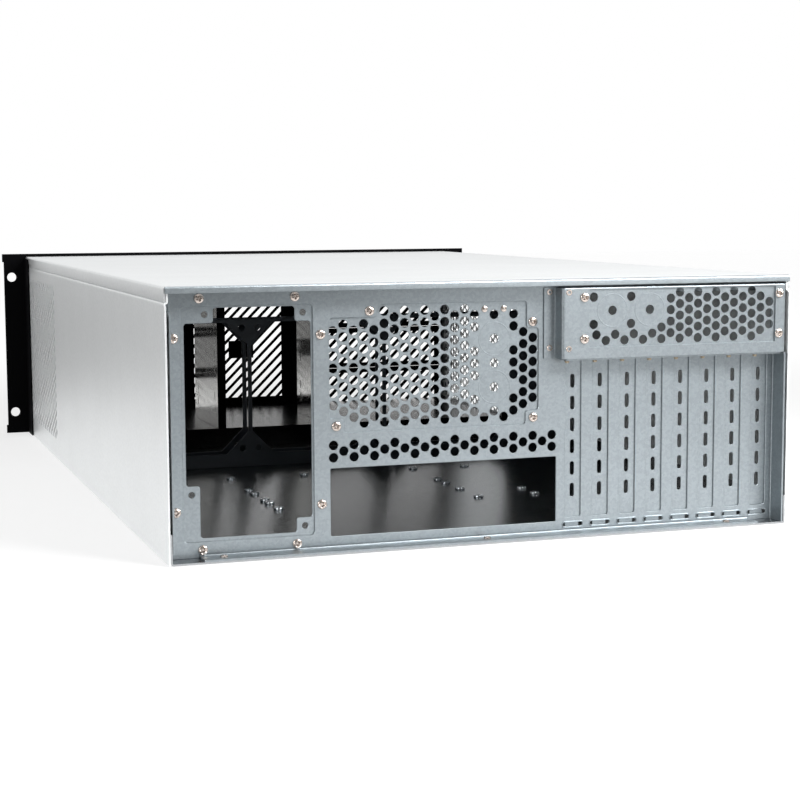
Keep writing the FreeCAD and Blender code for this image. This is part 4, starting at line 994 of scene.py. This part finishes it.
def light_world():
    """A white world: bright where it is seen, dimmer where metal mirrors its rear, and faint as light."""
    world = bpy.data.worlds.new("studio")
    bpy.context.scene.world = world
    world.use_nodes = True
    tree = world.node_tree
    heading = add_node(tree, "SeparateXYZ", {0: add_node(tree, "TexCoord").outputs["Generated"]})
    seen = where_glossy(tree, 1.0, carried(tree, heading.outputs["Y"], 0.0, 0.5, 1.0, 0.3))
    background = tree.nodes["Background"].inputs
    background["Color"].default_value = (1, 1, 1, 1)
    tree.links.new(carried(tree, sees_background(tree), 0.0, 1.0, 0.05, seen), background["Strength"])


def lay_floor():
    """A wide floor that keeps shadows. It glows for the rays that see it, more so far away, and its mirror
    image in metal fades with the distance."""
    mesh = bpy.data.meshes.new("studio_floor")
    corners = np.array([(-1, -1), (1, -1), (1, 1), (-1, 1)]) * FLOOR_REACH
    mesh.from_pydata(np.column_stack([corners, np.full(4, -FLOOR_SUNK)]).tolist(), [], [(0, 1, 2, 3)])
    floor = bpy.data.objects.new("studio_floor", mesh)
    bpy.context.scene.collection.objects.link(floor)
    paper = bpy.data.materials.new("studio_paper")
    paper.use_nodes = True
    tree = paper.node_tree
    shader = tree.nodes["Principled BSDF"].inputs
    shader["Base Color"].default_value = (FLOOR_GREY, FLOOR_GREY, FLOOR_GREY, 1)
    shader["Roughness"].default_value = FLOOR_ROUGHNESS
    shader["Emission Color"].default_value = (1, 1, 1, 1)
    place = add_node(tree, "TexCoord").outputs["Object"]
    away = add_node(tree, "VectorMath", {0: place}, operation="LENGTH").outputs["Value"]
    seen = carried(tree, away, 0.5, 1.6, 0.7, 0.9, smooth=True)
    mirrored = carried(tree, away, 0.5, 1.1, 1.0, 0.2, smooth=True)
    glow = add_node(tree, "Math", {0: sees_background(tree), 1: where_glossy(tree, seen, mirrored)},
                    operation="MULTIPLY")
    tree.links.new(glow.outputs[0], shader["Emission Strength"])
    mesh.materials.append(paper)


def place_camera():
    """The camera: yaw from straight towards the front, then pitch down, then roll about its own axis."""
    lens = bpy.data.cameras.new("rear_camera")
    lens.lens, lens.sensor_width = FOCAL_LENGTH, SENSOR
    lens.clip_start, lens.clip_end = 0.05, 50
    camera = bpy.data.objects.new("rear_camera", lens)
    bpy.context.scene.collection.objects.link(camera)
    yaw, pitch, roll = CAMERA_YAW, CAMERA_PITCH, CAMERA_ROLL
    ahead = Vector((-math.sin(yaw) * math.cos(pitch), -math.cos(yaw) * math.cos(pitch), -math.sin(pitch)))
    level = Vector((-math.cos(yaw), math.sin(yaw), 0))
    upright = level.cross(ahead)
    right = math.cos(roll) * level + math.sin(roll) * upright
    up = -math.sin(roll) * level + math.cos(roll) * upright
    turn = Matrix((right, up, -ahead)).transposed()
    camera.matrix_world = Matrix.Translation(CAMERA_PLACE) @ turn.to_4x4()
    bpy.context.scene.camera = camera


# Operators
class CASE_OT_stage(bpy.types.Operator):
    """Make the world, the floor, the lamps and the camera"""
    bl_idname = "case.stage"
    bl_label = "Stage"
    bl_options = {"REGISTER", "UNDO"}

    def execute(self, context):
        context.scene.view_settings.view_transform = "Standard"
        light_world()
        lay_floor()
        for name, values in LAMPS.items():
            area_lamp(name, *values)
        place_camera()
        return {"FINISHED"}


class CASE_OT_walls(bpy.types.Operator):
    """Make the two perforated side walls"""
    bl_idname = "case.walls"
    bl_label = "Side walls"
    bl_options = {"REGISTER", "UNDO"}

    def execute(self, context):
        # The walls' lighter steel is painted light
        make("left_wall", side_wall("side_wall_left", False), "side_wall_left", "wall_steel")
        make("right_wall", side_wall("side_wall_right", True), "side_wall_right", "wall_steel")
        return {"FINISHED"}


class CASE_OT_cover(bpy.types.Operator):
    """Make the top cover, its lip and the fixed strip in front of it"""
    bl_idname = "case.cover"
    bl_label = "Cover"
    bl_options = {"REGISTER", "UNDO"}

    def execute(self, context):
        cover, strip = Seat("top_cover"), Seat("front_top_strip")
        sheet = roof_sheet(cover, cover.near + METAL + LIP_GAP)
        # The cover's lighter steel is painted light; its lip keeps the darker sheet steel, which is painted
        # shade
        make("cover_sheet", sheet, "top_cover", "cover_steel", "cover")
        make("cover_lip", cover_lip(), None, "sheet_steel", "cover")
        make("cover_strip", roof_sheet(strip, strip.near), "front_top_strip", "cover_steel")
        return {"FINISHED"}


class CASE_OT_floor(bpy.types.Operator):
    """Make the base pan and the nuts for the main board"""
    bl_idname = "case.floor"
    bl_label = "Floor"
    bl_options = {"REGISTER", "UNDO"}

    def execute(self, context):
        make("floor_pan", base_pan(), "base_pan", "floor_steel")
        make("floor_nuts", clinch_nuts(), "board_standoffs", "nut_steel")
        return {"FINISHED"}


class CASE_OT_rear(bpy.types.Operator):
    """Make the rear panel and the plates in it"""
    bl_idname = "case.rear"
    bl_label = "Rear panel"
    bl_options = {"REGISTER", "UNDO"}

    def execute(self, context):
        # The rear's darker sheet steel is painted shade
        make("panel_sheet", rear_panel(), "rear_panel", "sheet_steel")
        make("supply_sheet", supply_plate(), "psu_plate", "sheet_steel")
        make("vent_sheet", vent_plate(), "vent_plate", "sheet_steel")
        return {"FINISHED"}


class CASE_OT_guard(bpy.types.Operator):
    """Make the guard over the slot screws and its plate"""
    bl_idname = "case.guard"
    bl_label = "Slot guard"
    bl_options = {"REGISTER", "UNDO"}

    def execute(self, context):
        make("guard_box", guard(), "slot_guard", "sheet_steel")
        make("guard_grid", guard_plate(), "guard_plate", "sheet_steel")
        return {"FINISHED"}


class CASE_OT_slot_covers(bpy.types.Operator):
    """Make the slotted covers of the slots"""
    bl_idname = "case.slot_covers"
    bl_label = "Slot covers"
    bl_options = {"REGISTER", "UNDO"}

    def execute(self, context):
        for number, seat in enumerate(SLOTS, 1):
            make("slot_strip_%d" % number, slot_cover(seat), "slot_cover_%d" % number, "sheet_steel")
        return {"FINISHED"}


class CASE_OT_screws(bpy.types.Operator):
    """Make the screws and rivets"""
    bl_idname = "case.screws"
    bl_label = "Screws"
    bl_options = {"REGISTER", "UNDO"}

    def execute(self, context):
        small = [turned(SMALL_HEAD, (*place, PLATE_FACE), REAR, 18) for place in SMALL_SCREWS]
        feet = [turned(FOOT_HEAD, (across, PANEL_FACE / 2, 2 * METAL), FLAT, 20) for across in FOOT_SCREWS]
        nuts = [turned(NUT_FACE, place, REAR, 18) for place in GUARD_NUTS]
        make("supply_screws", screw_set(SUPPLY_SCREWS, PANEL_FACE), "psu_plate_screws", "nickel")
        make("vent_screws", screw_set(VENT_SCREWS, PANEL_FACE) + small, "vent_plate_screws", "nickel")
        make("guard_screws", screw_set(GUARD_SCREWS, GUARD.near), "guard_plate_screws", "nickel")
        make("foot_screws", feet, "panel_foot_screws", "nickel")
        # The slot screws' brass is darkened as painted shade
        make("slot_screws", slot_screws(), "slot_cover_screws", "brass")
        make("guard_nuts", nuts, "guard_rivets", "nickel")
        return {"FINISHED"}


class CASE_OT_inside(bpy.types.Operator):
    """Make the fan bracket and the drive cage, and finish the tray"""
    bl_idname = "case.inside"
    bl_label = "Inside"
    bl_options = {"REGISTER", "UNDO"}

    def execute(self, context):
        make("fan_channel", fan_bracket(), "fan_bracket", "slate_paint")
        make("cage_sheets", drive_cage(), "drive_cage", "cage_steel")
        # The cage's rear flanges get the black finish as painted shade
        make("cage_flanges", cage_flanges(), None, "black_paint")
        refinish("tray_paint", "cage_tray")
        refinish("black_paint", "switch_bracket")
        return {"FINISHED"}


class CASE_OT_front(bpy.types.Operator):
    """Make the bay covers and the grille, and finish the front panel"""
    bl_idname = "case.front"
    bl_label = "Front"
    bl_options = {"REGISTER", "UNDO"}

    def execute(self, context):
        refinish("black_paint", "front_panel")
        for number in range(1, 7):
            node = "bay_cover_%d" % number
            make("bay_plate_%d" % number, bay_cover(node), node, "black_paint")
        make("middle_grille", centre_grille(), "centre_grille", "black_paint")
        refinish("light_plastic", "status_lights")
        return {"FINISHED"}


class CASE_OT_buttons(bpy.types.Operator):
    """Make the power and reset buttons"""
    bl_idname = "case.buttons"
    bl_label = "Buttons"
    bl_options = {"REGISTER", "UNDO"}

    def execute(self, context):
        make("power_cap", push_button("power_button"), "power_button", "button_plastic", "power_key")
        make("reset_cap", push_button("reset_button"), "reset_button", "button_plastic", "reset_key")
        return {"FINISHED"}


OPERATORS = [CASE_OT_stage, CASE_OT_walls, CASE_OT_cover, CASE_OT_floor, CASE_OT_rear, CASE_OT_guard,
             CASE_OT_slot_covers, CASE_OT_screws, CASE_OT_inside, CASE_OT_front, CASE_OT_buttons]


class CASE_PT_panel(bpy.types.Panel):
    """The case's colours, sizes and operators"""
    bl_label = "Case"
    bl_idname = "CASE_PT_panel"
    bl_space_type = "VIEW_3D"
    bl_region_type = "UI"
    bl_category = "Case"

    def draw(self, context):
        layout = self.layout
        for group in (context.scene.case_colours, context.scene.case_sizes):
            for name in group.__annotations__:
                layout.prop(group, name)
        for kind in OPERATORS:
            layout.operator(kind.bl_idname)


CLASSES = [CaseColours, CaseSizes, *OPERATORS, CASE_PT_panel]


def register():
    for kind in CLASSES:
        bpy.utils.register_class(kind)
    bpy.types.Scene.case_colours = PointerProperty(type=CaseColours)
    bpy.types.Scene.case_sizes = PointerProperty(type=CaseSizes)


def unregister():
    del bpy.types.Scene.case_sizes, bpy.types.Scene.case_colours
    for kind in reversed(CLASSES):
        bpy.utils.unregister_class(kind)


def main():
    register()
    for kind in OPERATORS:
        getattr(bpy.ops.case, kind.bl_idname.split(".")[1])()


if __name__ == "__main__":
    main()
